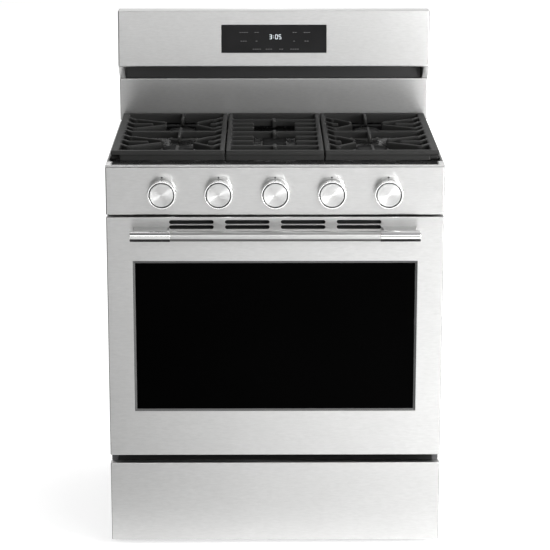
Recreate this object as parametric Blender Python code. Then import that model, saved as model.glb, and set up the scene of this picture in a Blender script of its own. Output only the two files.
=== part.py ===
"""Freestanding gas range of the 30 inch class, as an assembly of separate pieces.

Metres, +Z up. The front faces -Y, +X is on the right of a person who stands in front of it, and the
origin is on the floor under the middle of the whole. Depths are measured backwards from the plane of
the door skin, so a depth d lies at y = FRONT + d.
"""

import math

import bmesh
import bpy
from mathutils import Matrix, Vector

# Overall size
WIDTH = 0.758
DEPTH = 0.692
HEIGHT = 1.180
HANDLE_PROUD = 0.0625
HALF = WIDTH / 2
FRONT = HANDLE_PROUD - DEPTH / 2
BACK = DEPTH - HANDLE_PROUD

# Sheet metal and fits
SHEET = 0.0015
GAP = 0.0003
FOLD = 0.014

# Front faces, as heights of their lower and upper edges
DRAWER_Z = (0.0155, 0.2051)
DOOR_Z = (0.2232, 0.7853)
PANEL_Z = (0.7894, 0.8992)
FACE_DEPTH = 0.020
PANEL_DEPTH = 0.045

# Chassis
CHASSIS = 0.052
SIDE_Z = (0.030, 0.887)
BASE_Z = (0.016, 0.041)
BASE_RAIL = 0.050
FRAME_X = 0.3645
FRAME_Z = (0.195, 0.787)
FRAME_DEPTH = (CHASSIS, 0.064)

# Feet
FOOT_X = 0.361
FOOT_DEPTHS = (0.068, 0.610)
FOOT_RADIUS = 0.011
FOOT_STEM = 0.005

# Oven
OVEN_X = 0.3015
OVEN_Z = (0.2665, 0.7015)
OVEN_DEPTH = (0.0645, 0.5185)
RACK_LEVELS = [0.345 + 0.060 * step for step in range(5)]
RACK_PLACES = {"oven_rack_lower": 1, "oven_rack_upper": 3}
LEDGE_X = 0.2895
LEDGE_DEPTH = (0.085, OVEN_DEPTH[1] - 0.005)
LEDGE_HEIGHT = 0.004
RACK_X = 0.2985
RACK_DEPTH = (0.112, 0.5175)
RACK_ROD = 0.005
RACK_WIRE = 0.003
RACK_WIRES = 13
FLOOR_PLATE_Z = 0.288
FLOOR_PLATE_DEPTH = (0.070, OVEN_DEPTH[1] - 0.001)
BAKE_RADIUS = 0.0098
BAKE_DEPTH = (0.100, OVEN_DEPTH[1] - GAP)
BROIL_RADIUS = 0.008
BROIL_HALF_WIDTH = 0.110
BROIL_DEPTH = (0.150, OVEN_DEPTH[1] - GAP)
BROIL_CORNER = 0.025

# Door, hinged along its lower edge
HINGE_DEPTH = 0.026
HINGE_Z = 0.245
HINGE_LUG_X = (0.337, 0.341)
HINGE_LUG_HALF = 0.0055
HINGE_PIN = 0.003
HINGE_PIN_X = (0.334, 0.349)
HINGE_STRAP_X = (0.346, 0.352)
HINGE_STRAP_DEPTH = (0.0215, 0.038)
HINGE_STRAP_Z = (0.2395, 0.420)
HINGE_NOTCH_X = (0.3315, 0.3585)
HINGE_NOTCH_TOP = 0.290
WINDOW_X = 0.3209
WINDOW_Z = (0.3296, 0.6834)
INNER_X = 0.3665
INNER_Z = (0.235, 0.770)
INNER_DEPTH = (0.0205, 0.045)
INNER_WINDOW_X = 0.225
INNER_WINDOW_Z = (0.400, 0.630)
GASKET_DEPTH = (INNER_DEPTH[1] + GAP, CHASSIS - GAP)
GASKET_WIDTH = 0.009
GASKET_MARGIN = 0.0035
GASKET_BOTTOM = 0.2605
VENT_LENGTH = 0.100
VENT_HEIGHT = 0.009
VENT_PITCH = 0.1253
VENT_ROWS = (0.7617, 0.7734)

# Handle
HANDLE_RADIUS = 0.0125
HANDLE_DEPTH = HANDLE_RADIUS - HANDLE_PROUD
HANDLE_Z = 0.7525
HANDLE_X = 0.3235
MOUNT_X = (0.238, 0.318)
MOUNT_Z = (0.742, 0.7627)

# Drawer
DRAWER_X = 0.325
DRAWER_BOX_Z = (0.045, 0.165)
DRAWER_BOX_DEPTH = (FACE_DEPTH + GAP, 0.500)
RAIL_TOP = 0.160
RAIL_LIP_X = 0.340
RAIL_WEB_X = (0.345, 0.3465)
RAIL_TOP_X = 0.328
RAIL_FOOT_X = 0.372
RAIL_DEPTH = (0.085, 0.560)

# Cooktop
RIM_Z = 0.9035
WELL_Z = 0.889
WELL_X = 0.3745
WELL_DEPTH = (0.048, 0.548)
COOKTOP_DEPTH = 0.5575
BURNERS = {
    "front_left": (-0.222, 0.175, 0.036, 0.0),
    "rear_left": (-0.222, 0.400, 0.030, 0.0),
    "center": (0.0, 0.287, 0.028, 0.050),
    "rear_right": (0.222, 0.400, 0.030, 0.0),
    "front_right": (0.222, 0.175, 0.036, 0.0),
}
BURNER_TOP = 0.902
CAP_TOP = 0.911

# Grates
GRATE_TOP = 0.925
GRATE_RAIL_Z = (0.9023, 0.9215)
FINGER_Z = (0.9145, GRATE_TOP)
FINGER = 0.008
GRATE_DEPTH = (0.0552, 0.5422)
GRATE_SPLIT = 0.112
GRATE_X = 0.3705
GRATE_RAIL = 0.014
GRATE_MID = 0.293
GRATE_BAR = 0.010
CENTER_BARS = (0.121, GRATE_MID, 0.453)
CENTER_FINGERS = (0.178, 0.245, 0.340, 0.395)

# Gas and power connections at the foot of the back
REGULATOR_X = 0.270
REGULATOR_Z = 0.095
REGULATOR_DEPTH = 0.585
REGULATOR_RADIUS = 0.024
INLET_RADIUS = 0.0105
CORD_X = -0.290
CORD_Z = 0.110
CORD_HOLE = 0.011

# Knobs, from left to right
KNOB_Z = 0.8406
KNOB_PITCH = 0.1265
KNOB_NAMES = ("front_left", "rear_left", "center", "rear_right", "front_right")
KNOB_RADIUS = 0.0318
KNOB_FACE = 0.0258
KNOB_DEPTH = (-0.0305, -0.0045)
STEM_RADIUS = 0.004
STEM_FLAT = 0.0027
STEM_DEPTH = (-0.022, 0.070)
MANIFOLD_RAIL_X = (-0.275, 0.345)
MANIFOLD_RAIL_DEPTH = (0.066, 0.084)
VALVE_HALF = 0.013
VALVE_DEPTH = (0.062, 0.088)
PIPE_X = 0.335
PIPE_RADIUS = 0.006

# Backguard
GUARD_DEPTH = 0.559
GUARD_Z = 0.904
SLOT_Z = (1.009, 1.044)
SLOT_X = 0.364
CONSOLE_LOW = (0.513, SLOT_Z[1])
CONSOLE_HIGH = (0.530, HEIGHT)
CONSOLE_BACK = 0.568
COVER_TOP = 1.170
DISPLAY_SIZE = (0.2557, 0.0675)
DISPLAY_ALONG = 0.068
LEAN = math.atan2(CONSOLE_HIGH[0] - CONSOLE_LOW[0], CONSOLE_HIGH[1] - CONSOLE_LOW[1])


def clear_scene():
    for obj in list(bpy.data.objects):
        bpy.data.objects.remove(obj, do_unlink=True)


# Materials


def principled(name, colour, roughness, metallic):
    found = bpy.data.materials.get(name)
    if found:
        return found
    material = bpy.data.materials.new(name)
    material.use_nodes = True
    shader = material.node_tree.nodes["Principled BSDF"]
    shader.inputs["Base Color"].default_value = (*colour, 1.0)
    shader.inputs["Roughness"].default_value = roughness
    shader.inputs["Metallic"].default_value = metallic
    return material


def brushed_steel():
    return principled("brushed_steel", (0.60, 0.60, 0.59), 0.32, 1.0)


def polished_steel():
    return principled("polished_steel", (0.78, 0.78, 0.77), 0.10, 1.0)


def galvanised_steel():
    return principled("galvanised_steel", (0.48, 0.50, 0.51), 0.45, 1.0)


def side_paint():
    return principled("side_paint", (0.10, 0.10, 0.105), 0.45, 0.0)


def cast_iron():
    return principled("cast_iron", (0.045, 0.045, 0.043), 0.55, 0.0)


def black_enamel():
    return principled("black_enamel", (0.012, 0.012, 0.012), 0.15, 0.0)


def oven_enamel():
    return principled("oven_enamel", (0.025, 0.028, 0.040), 0.25, 0.0)


def black_glass():
    return principled("black_glass", (0.004, 0.004, 0.004), 0.04, 0.0)


def cast_aluminium():
    return principled("cast_aluminium", (0.52, 0.52, 0.52), 0.42, 1.0)


def brass():
    return principled("brass", (0.72, 0.52, 0.22), 0.30, 1.0)


def gasket_fabric():
    return principled("gasket_fabric", (0.08, 0.08, 0.08), 0.90, 0.0)


def foot_plastic():
    return principled("foot_plastic", (0.02, 0.02, 0.02), 0.60, 0.0)


# Solids, each added to a bmesh in world coordinates


def at(x, depth, z):
    return Vector((x, FRONT + depth, z))


def add_box(bm, x, depth, z):
    """A box between two x values, two depths and two heights."""
    corners = [bm.verts.new(at(a, b, c)) for a in x for b in depth for c in z]
    sides = ((0, 1, 3, 2), (4, 6, 7, 5), (0, 4, 5, 1), (2, 3, 7, 6), (0, 2, 6, 4), (1, 5, 7, 3))
    for side in sides:
        bm.faces.new([corners[i] for i in side])


def add_bar(bm, start, end, width, z):
    """A straight bar in plan, from one (x, depth) to another, between two heights."""
    along = (Vector(end) - Vector(start)).normalized()
    across = Vector((-along.y, along.x)) * width / 2
    plan = [Vector(start) + across, Vector(start) - across, Vector(end) - across, Vector(end) + across]
    add_prism(bm, [at(point.x, point.y, z[0]) for point in plan], Vector((0, 0, z[1] - z[0])))


def add_prism(bm, outline, travel):
    """A flat outline extruded along a vector."""
    face = bm.faces.new([bm.verts.new(point) for point in outline])
    moved = bmesh.ops.extrude_face_region(bm, geom=[face], use_keep_orig=True)["geom"]
    bmesh.ops.translate(bm, verts=[v for v in moved if isinstance(v, bmesh.types.BMVert)], vec=travel)


def add_rod(bm, start, end, radius, segments=12):
    """A round rod between two points."""
    along = end - start
    turn = along.to_track_quat("Z", "Y").to_matrix().to_4x4()
    place = Matrix.Translation((start + end) / 2) @ turn
    bmesh.ops.create_cone(bm, cap_ends=True, segments=segments, radius1=radius, radius2=radius,
                          depth=along.length, matrix=place)


def add_turned(bm, profile, centre, axis, segments):
    """A profile of (radius, distance) points, from the axis back to the axis, spun about it."""
    before = set(bm.verts)
    points = [bm.verts.new((radius, 0, distance)) for radius, distance in profile]
    edges = [bm.edges.new(pair) for pair in zip(points, points[1:])]
    bmesh.ops.spin(bm, geom=points + edges, cent=(0, 0, 0), axis=(0, 0, 1), angle=math.tau,
                   steps=segments, use_merge=True)
    bmesh.ops.remove_doubles(bm, verts=list(set(bm.verts) - before), dist=0.00001)
    place = Matrix.Translation(centre) @ axis.to_track_quat("Z", "Y").to_matrix().to_4x4()
    bmesh.ops.transform(bm, matrix=place, verts=list(set(bm.verts) - before))


def rounded_slot(centre, length, height, steps=4):
    """The outline of an upright slot with round ends, on the front plane."""
    radius = height / 2
    outline = []
    for side in (1, -1):
        for step in range(steps + 1):
            angle = math.pi * (step / steps - 0.5)
            outline.append(centre + Vector((side * (length / 2 - radius + radius * math.cos(angle)), 0,
                                            side * radius * math.sin(angle))))
    return outline


def d_outline(centre, radius, flat, segments=14):
    """A circle with a flat below its centre, in the plane of the front."""
    start = -math.asin(flat / radius)
    sweep = math.pi - 2 * start
    angles = [start + sweep * step / segments for step in range(segments + 1)]
    return [centre + radius * Vector((math.cos(angle), 0, math.sin(angle))) for angle in angles]


# Objects


def world_origin(obj):
    return obj.location + world_origin(obj.parent) if obj else Vector()


def make(name, bm, material, origin=(0, 0, 0), parent=None):
    """Turns a bmesh into an object whose origin is at the given point."""
    bmesh.ops.recalc_face_normals(bm, faces=bm.faces)
    bmesh.ops.translate(bm, verts=bm.verts, vec=-Vector(origin))
    mesh = bpy.data.meshes.new(name)
    bm.to_mesh(mesh)
    bm.free()
    mesh.materials.append(material)
    obj = bpy.data.objects.new(name, mesh)
    obj.parent = parent
    obj.location = Vector(origin) - world_origin(parent)
    bpy.context.scene.collection.objects.link(obj)
    return obj


def combine(target, bm, operation):
    """Adds or cuts the shape held in a bmesh, which stays as a hidden helper of the target."""
    name = f"{operation.lower()}_{target.name}_{len(target.modifiers)}"
    tool = make(name, bm, target.active_material, world_origin(target), target)
    tool.hide_render = True
    tool.display_type = "WIRE"
    modifier = target.modifiers.new(operation.title(), "BOOLEAN")
    modifier.operation = operation
    modifier.solver = "EXACT"
    modifier.object = tool
    modifier.use_self = True


def cut(target, bm):
    combine(target, bm, "DIFFERENCE")


def join(target, bm):
    combine(target, bm, "UNION")


def box(name, x, depth, z, material, origin=(0, 0, 0), parent=None):
    bm = bmesh.new()
    add_box(bm, x, depth, z)
    return make(name, bm, material, origin, parent)


def cut_box(target, x, depth, z):
    bm = bmesh.new()
    add_box(bm, x, depth, z)
    cut(target, bm)


def inside(limits, wall=SHEET):
    return (limits[0] + wall, limits[1] - wall)


def round_off(obj):
    obj.data.shade_smooth()
    obj.data.set_sharp_from_angle(angle=math.radians(35))


def empty(name, location):
    marker = bpy.data.objects.new(name, None)
    marker.location = location
    bpy.context.scene.collection.objects.link(marker)
    return marker


# Chassis


def base_frame():
    """A rectangle of pressed channel, open below, with a hole for each levelling foot."""
    limits = (CHASSIS + SHEET + 2 * GAP, BACK - SHEET - 0.0025)
    across = HALF - SHEET - 2 * GAP
    frame = box("base_frame", (-across, across), limits, BASE_Z, galvanised_steel())
    bm = bmesh.new()
    opening = (limits[0] + BASE_RAIL, limits[1] - BASE_RAIL)
    add_box(bm, (BASE_RAIL - across, across - BASE_RAIL), opening, (0, 0.1))
    for x in (-FOOT_X, FOOT_X):
        for depth in FOOT_DEPTHS:
            add_rod(bm, at(x, depth, 0), at(x, depth, 0.1), FOOT_STEM + 2 * GAP)
    cut(frame, bm)
    hollow = bmesh.new()
    height = (0, BASE_Z[1] - SHEET)
    for side in (-1, 1):
        beam = sorted((side * (across - SHEET), side * (across - BASE_RAIL + SHEET)))
        add_box(hollow, beam, inside(limits), height)
    for start in (limits[0] + SHEET, opening[1] + SHEET):
        add_box(hollow, (SHEET - across, across - SHEET), (start, start + BASE_RAIL - 2 * SHEET), height)
    cut(frame, hollow)


def side_panel(side, name):
    """A folded side sheet with a flange at its front and its rear."""
    rear = BACK - SHEET - 2 * GAP
    outer = side * HALF
    inner = side * (HALF - SHEET)
    lip = side * (HALF - FOLD)
    plan = [(outer, CHASSIS), (outer, rear), (lip, rear), (lip, rear - SHEET), (inner, rear - SHEET),
            (inner, CHASSIS + SHEET), (lip, CHASSIS + SHEET), (lip, CHASSIS)]
    bm = bmesh.new()
    add_prism(bm, [at(x, depth, SIDE_Z[0]) for x, depth in plan], Vector((0, 0, SIDE_Z[1] - SIDE_Z[0])))
    make(f"side_panel_{name}", bm, side_paint())


def rear_panel():
    """The flat rear sheet, with a hole for the gas inlet and one for the power cord."""
    across = HALF - SHEET - 2 * GAP
    panel = box("rear_panel", (-across, across), (BACK - SHEET, BACK), SIDE_Z, galvanised_steel())
    bm = bmesh.new()
    for x, z, radius in ((REGULATOR_X, REGULATOR_Z, 0.014), (CORD_X, CORD_Z, CORD_HOLE)):
        add_rod(bm, at(x, BACK - 0.01, z), at(x, BACK + 0.01, z), radius, 16)
    cut(panel, bm)


def front_frame():
    """The face of the chassis behind the door, with the oven's mouth and the two hinge lugs."""
    frame = box("front_frame", (-FRAME_X, FRAME_X), FRAME_DEPTH, FRAME_Z, galvanised_steel())
    cut_box(frame, (-OVEN_X, OVEN_X), (0.04, 0.08), OVEN_Z)
    pockets = bmesh.new()
    pocket_depth = (FRAME_DEPTH[0] + 2 * SHEET, 0.08)
    low, high = inside(FRAME_Z)
    rim = OVEN_X + SHEET
    for side in (-1, 1):
        add_box(pockets, sorted((side * rim, side * (FRAME_X - SHEET))), pocket_depth, (low, high))
    add_box(pockets, (-rim - SHEET, rim + SHEET), pocket_depth, (low, OVEN_Z[0] - SHEET))
    add_box(pockets, (-rim - SHEET, rim + SHEET), pocket_depth, (OVEN_Z[1] + SHEET, high))
    cut(frame, pockets)
    bm = bmesh.new()
    for side in (-1, 1):
        nose = [(HINGE_DEPTH - HINGE_LUG_HALF * math.sin(math.pi * step / 6),
                 HINGE_Z + HINGE_LUG_HALF * math.cos(math.pi * step / 6)) for step in range(7)]
        root = [(CHASSIS + SHEET, HINGE_Z - HINGE_LUG_HALF), (CHASSIS + SHEET, HINGE_Z + HINGE_LUG_HALF)]
        near, far = (side * x for x in HINGE_LUG_X)
        add_prism(bm, [at(near, depth, z) for depth, z in nose + root], Vector((far - near, 0, 0)))
    join(frame, bm)
    bm = bmesh.new()
    for side in (-1, 1):
        near, far = (side * (x + away) for x, away in zip(HINGE_LUG_X, (-0.002, 0.002)))
        add_rod(bm, at(near, HINGE_DEPTH, HINGE_Z), at(far, HINGE_DEPTH, HINGE_Z), HINGE_PIN + 0.0004)
    cut(frame, bm)


def foot(side, depth, name):
    """A levelling foot: a round pad on a threaded stem that turns in the base frame."""
    where = at(side * FOOT_X, depth, 0)
    profile = [(0, 0.052), (FOOT_STEM, 0.052), (FOOT_STEM, 0.0135), (FOOT_RADIUS * 0.7, 0.0125),
               (FOOT_RADIUS, 0.009), (FOOT_RADIUS, 0), (0, 0)]
    bm = bmesh.new()
    add_turned(bm, profile, where, Vector((0, 0, 1)), 12)
    round_off(make(f"foot_{name}", bm, foot_plastic(), where))


# Oven


def oven_liner():
    """The enamelled box, open towards the door, with a ledge on each side at every rack level."""
    outer_x = (-OVEN_X - SHEET, OVEN_X + SHEET)
    outer_z = (OVEN_Z[0] - SHEET, OVEN_Z[1] + SHEET)
    liner = box("oven_liner", outer_x, (OVEN_DEPTH[0], OVEN_DEPTH[1] + SHEET), outer_z, oven_enamel())
    cut_box(liner, (-OVEN_X, OVEN_X), (0.05, OVEN_DEPTH[1]), OVEN_Z)
    bm = bmesh.new()
    for side in (-1, 1):
        for level in RACK_LEVELS:
            ledge = sorted((side * LEDGE_X, side * (OVEN_X + SHEET / 2)))
            add_box(bm, ledge, LEDGE_DEPTH, (level - LEDGE_HEIGHT, level))
    join(liner, bm)


def oven_floor_plate():
    """The loose floor of the oven, standing on its two folded sides."""
    across = OVEN_X - 0.001
    plate = box("oven_floor_plate", (-across, across), FLOOR_PLATE_DEPTH,
                (FLOOR_PLATE_Z, FLOOR_PLATE_Z + SHEET), oven_enamel())
    bm = bmesh.new()
    for side in (-1, 1):
        low, high = sorted((side * across, side * (across - SHEET)))
        add_box(bm, (low, high), FLOOR_PLATE_DEPTH, (OVEN_Z[0] + GAP, FLOOR_PLATE_Z + SHEET / 2))
    join(plate, bm)


def bake_burner():
    """A straight tube burner that lies along the oven under its floor plate."""
    z = OVEN_Z[0] + GAP + BAKE_RADIUS
    bm = bmesh.new()
    add_rod(bm, at(0, BAKE_DEPTH[0], z), at(0, BAKE_DEPTH[1], z), BAKE_RADIUS)
    round_off(make("bake_burner", bm, galvanised_steel()))


def broil_burner():
    """A tube bent into a U under the oven's roof, with both ends at the rear wall."""
    curve = bpy.data.curves.new("broil_burner", "CURVE")
    curve.dimensions = "3D"
    curve.bevel_depth = BROIL_RADIUS
    curve.bevel_resolution = 2
    curve.use_fill_caps = True
    z = OVEN_Z[1] - 0.002 - BROIL_RADIUS
    front, rear = BROIL_DEPTH
    plan = [(-BROIL_HALF_WIDTH, rear)]
    for side in (-1, 1):
        bend = [(side * (BROIL_HALF_WIDTH - BROIL_CORNER * (1 - math.cos(angle))),
                 front + BROIL_CORNER * (1 - math.sin(angle)))
                for angle in (0, math.pi / 4, math.pi / 2)]
        plan += bend if side < 0 else bend[::-1]
    plan.append((BROIL_HALF_WIDTH, rear))
    spline = curve.splines.new("POLY")
    spline.points.add(len(plan) - 1)
    for point, (x, depth) in zip(spline.points, plan):
        point.co = (*at(x, depth, z), 1.0)
    curve.materials.append(galvanised_steel())
    bpy.context.scene.collection.objects.link(bpy.data.objects.new("broil_burner", curve))


def oven_rack(name, level):
    """A wire rack that rests on the ledges of one level."""
    z = (level + GAP, level + GAP + RACK_ROD)
    first, last = RACK_DEPTH[0], RACK_DEPTH[1] - RACK_ROD
    bm = bmesh.new()
    for share in (0, 1 / 3, 2 / 3, 1):
        depth = first + share * (last - first)
        add_box(bm, (-RACK_X, RACK_X), (depth, depth + RACK_ROD), z)
    rack = make(name, bm, polished_steel(), at(0, first, level))
    bm = bmesh.new()
    for wire in range(RACK_WIRES):
        x = (RACK_X - RACK_ROD / 2) * (2 * wire / (RACK_WIRES - 1) - 1)
        half = (RACK_ROD if wire in (0, RACK_WIRES - 1) else RACK_WIRE) / 2
        add_box(bm, (x - half, x + half), RACK_DEPTH, z)
    join(rack, bm)


# Door


def door_outer_panel(parent):
    """The brushed skin of the door: a shallow pan with the window and the vent slots."""
    panel = box("door_outer_panel", (-HALF, HALF), (0, FACE_DEPTH), DOOR_Z, brushed_steel(),
                parent.location, parent)
    cut_box(panel, inside((-HALF, HALF)), (SHEET, 0.03), inside(DOOR_Z))
    bm = bmesh.new()
    add_box(bm, (-WINDOW_X, WINDOW_X), (-0.01, 0.01), WINDOW_Z)
    for column in range(4):
        for z in VENT_ROWS:
            centre = at((column - 1.5) * VENT_PITCH, -0.01, z)
            add_prism(bm, rounded_slot(centre, VENT_LENGTH, VENT_HEIGHT), Vector((0, 0.02, 0)))
    cut(panel, bm)


def door_window_glass(parent):
    edge = 0.0004
    box("door_window_glass", (edge - WINDOW_X, WINDOW_X - edge), (0.001, 0.005), inside(WINDOW_Z, edge),
        black_glass(), parent.location, parent)


def door_inner_panel(parent):
    """The pan that faces the oven, with notches around the hinge lugs."""
    panel = box("door_inner_panel", (-INNER_X, INNER_X), INNER_DEPTH, INNER_Z, oven_enamel(),
                parent.location, parent)
    cut_box(panel, inside((-INNER_X, INNER_X)), (0.01, INNER_DEPTH[1] - SHEET), inside(INNER_Z))
    bm = bmesh.new()
    add_box(bm, (-INNER_WINDOW_X, INNER_WINDOW_X), (0.03, 0.06), INNER_WINDOW_Z)
    for side in (-1, 1):
        notch = sorted(side * x for x in HINGE_NOTCH_X)
        add_box(bm, notch, (0.01, 0.06), (INNER_Z[0] - 0.01, HINGE_NOTCH_TOP))
    cut(panel, bm)


def door_inner_glass(parent):
    edge = 0.0004
    box("door_inner_glass", (edge - INNER_WINDOW_X, INNER_WINDOW_X - edge), (0.040, INNER_DEPTH[1] - GAP),
        inside(INNER_WINDOW_Z, edge), black_glass(), parent.location, parent)


def door_hinge(side, name, parent):
    """A strap inside the door with the pin that turns in the frame's lug."""
    bm = bmesh.new()
    strap = sorted(side * x for x in HINGE_STRAP_X)
    add_box(bm, strap, HINGE_STRAP_DEPTH, HINGE_STRAP_Z)
    hinge = make(f"door_hinge_{name}", bm, galvanised_steel(), parent.location, parent)
    bm = bmesh.new()
    ends = [at(side * x, HINGE_DEPTH, HINGE_Z) for x in HINGE_PIN_X]
    add_rod(bm, *ends, HINGE_PIN)
    join(hinge, bm)


def handle_bar(parent):
    bm = bmesh.new()
    add_rod(bm, at(-HANDLE_X, HANDLE_DEPTH, HANDLE_Z), at(HANDLE_X, HANDLE_DEPTH, HANDLE_Z),
            HANDLE_RADIUS, 20)
    round_off(make("handle_bar", bm, polished_steel(), parent.location, parent))


def handle_mount(side, name, parent):
    """The stand-off between the door skin and the bar."""
    x = sorted(side * limit for limit in MOUNT_X)
    back_of_bar = HANDLE_DEPTH + HANDLE_RADIUS + GAP
    box(f"handle_mount_{name}", x, (back_of_bar, -GAP), MOUNT_Z, polished_steel(), parent.location, parent)


def door_gasket():
    """The woven seal around the oven's mouth, fixed to the front frame."""
    inner_x = OVEN_X + GASKET_MARGIN
    outer_x = inner_x + GASKET_WIDTH
    inner_z = (OVEN_Z[0], OVEN_Z[1] + GASKET_MARGIN)
    outer_z = (GASKET_BOTTOM, inner_z[1] + GASKET_WIDTH)
    gasket = box("door_gasket", (-outer_x, outer_x), GASKET_DEPTH, outer_z, gasket_fabric())
    cut_box(gasket, (-inner_x, inner_x), (0.04, 0.06), inner_z)


# Drawer


def drawer_front(parent):
    front = box("drawer_front", (-HALF, HALF), (0, FACE_DEPTH), DRAWER_Z, brushed_steel(),
                parent.location, parent)
    cut_box(front, inside((-HALF, HALF)), (SHEET, 0.03), inside(DRAWER_Z))


def drawer_box(parent):
    """An open steel box with a lip along each side that rides on the rails."""
    body = box("drawer_box", (-DRAWER_X, DRAWER_X), DRAWER_BOX_DEPTH, DRAWER_BOX_Z, side_paint(),
               parent.location, parent)
    cut_box(body, inside((-DRAWER_X, DRAWER_X)), inside(DRAWER_BOX_DEPTH), (DRAWER_BOX_Z[0] + SHEET, 0.2))
    bm = bmesh.new()
    for side in (-1, 1):
        lip = sorted((side * (DRAWER_X - SHEET / 2), side * RAIL_LIP_X))
        lip_depth = (CHASSIS + 0.006, DRAWER_BOX_DEPTH[1] - 0.002)
        add_box(bm, lip, lip_depth, (RAIL_TOP + GAP, RAIL_TOP + GAP + SHEET))
    join(body, bm)


def drawer_rail(side, name):
    """A folded rail that stands on the base frame and carries the drawer's lip."""
    foot_z = BASE_Z[1] + GAP
    inner, outer = RAIL_WEB_X
    section = [(outer, foot_z + SHEET), (outer, RAIL_TOP), (RAIL_TOP_X, RAIL_TOP),
               (RAIL_TOP_X, RAIL_TOP - SHEET), (inner, RAIL_TOP - SHEET), (inner, foot_z),
               (RAIL_FOOT_X, foot_z), (RAIL_FOOT_X, foot_z + SHEET)]
    front, rear = RAIL_DEPTH
    bm = bmesh.new()
    add_prism(bm, [at(side * x, front, z) for x, z in section], Vector((0, rear - front, 0)))
    make(f"drawer_rail_{name}", bm, galvanised_steel())


# Cooktop, burners and grates


def cooktop_panel():
    """The pressed top: a rim, a front lip and the recessed well with the burner openings."""
    top = box("cooktop_panel", (-HALF, HALF), (0, COOKTOP_DEPTH), (RIM_Z - SHEET, RIM_Z), brushed_steel())
    bm = bmesh.new()
    add_box(bm, (-WELL_X - SHEET, WELL_X + SHEET), (WELL_DEPTH[0] - SHEET, WELL_DEPTH[1] + SHEET),
            (WELL_Z - SHEET, RIM_Z - SHEET / 2))
    add_box(bm, (-HALF, HALF), (0, SHEET), (PANEL_Z[1] + GAP, RIM_Z))
    join(top, bm)
    skirts = bmesh.new()
    for side in (-1, 1):
        skirt = sorted((side * (HALF - SHEET), side * HALF))
        add_box(skirts, skirt, (PANEL_DEPTH + GAP, COOKTOP_DEPTH), (SIDE_Z[1] + GAP, RIM_Z - SHEET / 2))
    join(top, skirts)
    cut_box(top, (-WELL_X, WELL_X), WELL_DEPTH, (WELL_Z, 1.0))
    bm = bmesh.new()
    for x, depth, radius, stretch in BURNERS.values():
        add_rod(bm, at(x, depth, 0.87), at(x, depth, 0.90), throat_radius(radius) + 0.0015, 16)
    cut(top, bm)


def throat_radius(radius):
    return radius * 0.5


def add_burner_part(bm, profile, x, depth, stretch, segments=20):
    """A turned part, pulled apart along Y into a long oval where stretch isn't zero."""
    before = set(bm.verts)
    add_turned(bm, profile, at(x, depth, 0), Vector((0, 0, 1)), segments)
    for vert in set(bm.verts) - before:
        reach = Vector((vert.co.x - x, vert.co.y - FRONT - depth)).length
        if stretch and reach > throat_radius(0.030):
            vert.co.y += math.copysign(stretch, vert.co.y - FRONT - depth + 0.0001)


def burner_base(name, x, depth, radius, stretch):
    """The cast head of a burner, standing on the well with its throat through the panel."""
    throat = throat_radius(radius)
    bottom = WELL_Z + GAP
    profile = [(0, BURNER_TOP), (radius * 0.90, BURNER_TOP), (radius * 0.90, bottom + 0.004),
               (radius * 1.10, bottom + 0.002), (radius * 1.10, bottom), (throat, bottom), (throat, 0.868),
               (0, 0.868)]
    bm = bmesh.new()
    add_burner_part(bm, profile, x, depth, stretch)
    round_off(make(f"burner_base_{name}", bm, cast_aluminium(), at(x, depth, bottom)))


def burner_cap(name, x, depth, radius, stretch):
    """The enamelled cap that lies on the burner head."""
    bottom = BURNER_TOP + GAP
    profile = [(0, CAP_TOP), (radius * 0.80, CAP_TOP - 0.0008), (radius * 0.97, CAP_TOP - 0.003),
               (radius, CAP_TOP - 0.005), (radius, bottom), (0, bottom)]
    bm = bmesh.new()
    add_burner_part(bm, profile, x, depth, stretch)
    round_off(make(f"burner_cap_{name}", bm, black_enamel(), at(x, depth, bottom)))


def grate_frame(name, x):
    """The rectangular frame of a grate with its mid bar and the legs that stand in the well."""
    origin = at(sum(x) / 2, sum(GRATE_DEPTH) / 2, GRATE_TOP)
    rail_in = (x[0] + GRATE_RAIL, x[1] - GRATE_RAIL)
    ends = (GRATE_DEPTH[0] + GRATE_RAIL, GRATE_DEPTH[1] - GRATE_RAIL)
    grate = box(name, x, GRATE_DEPTH, (GRATE_RAIL_Z[0], GRATE_TOP), cast_iron(), origin)
    cut_box(grate, rail_in, ends, (0.89, 0.94))
    for low, high in ((x[0], rail_in[0]), (rail_in[1], x[1])):
        outward = (low - 0.01, high) if low == x[0] else (low, high + 0.01)
        cut_box(grate, outward, ends, (GRATE_RAIL_Z[1], 0.94))
    legs = bmesh.new()
    for low in (x[0] + 0.002, x[1] - 0.012):
        for depth in (GRATE_DEPTH[0] + 0.002, GRATE_DEPTH[1] - 0.012):
            add_box(legs, (low, low + 0.010), (depth, depth + 0.010), (WELL_Z + GAP, GRATE_RAIL_Z[0] + 0.004))
    join(grate, legs)
    return grate


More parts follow.
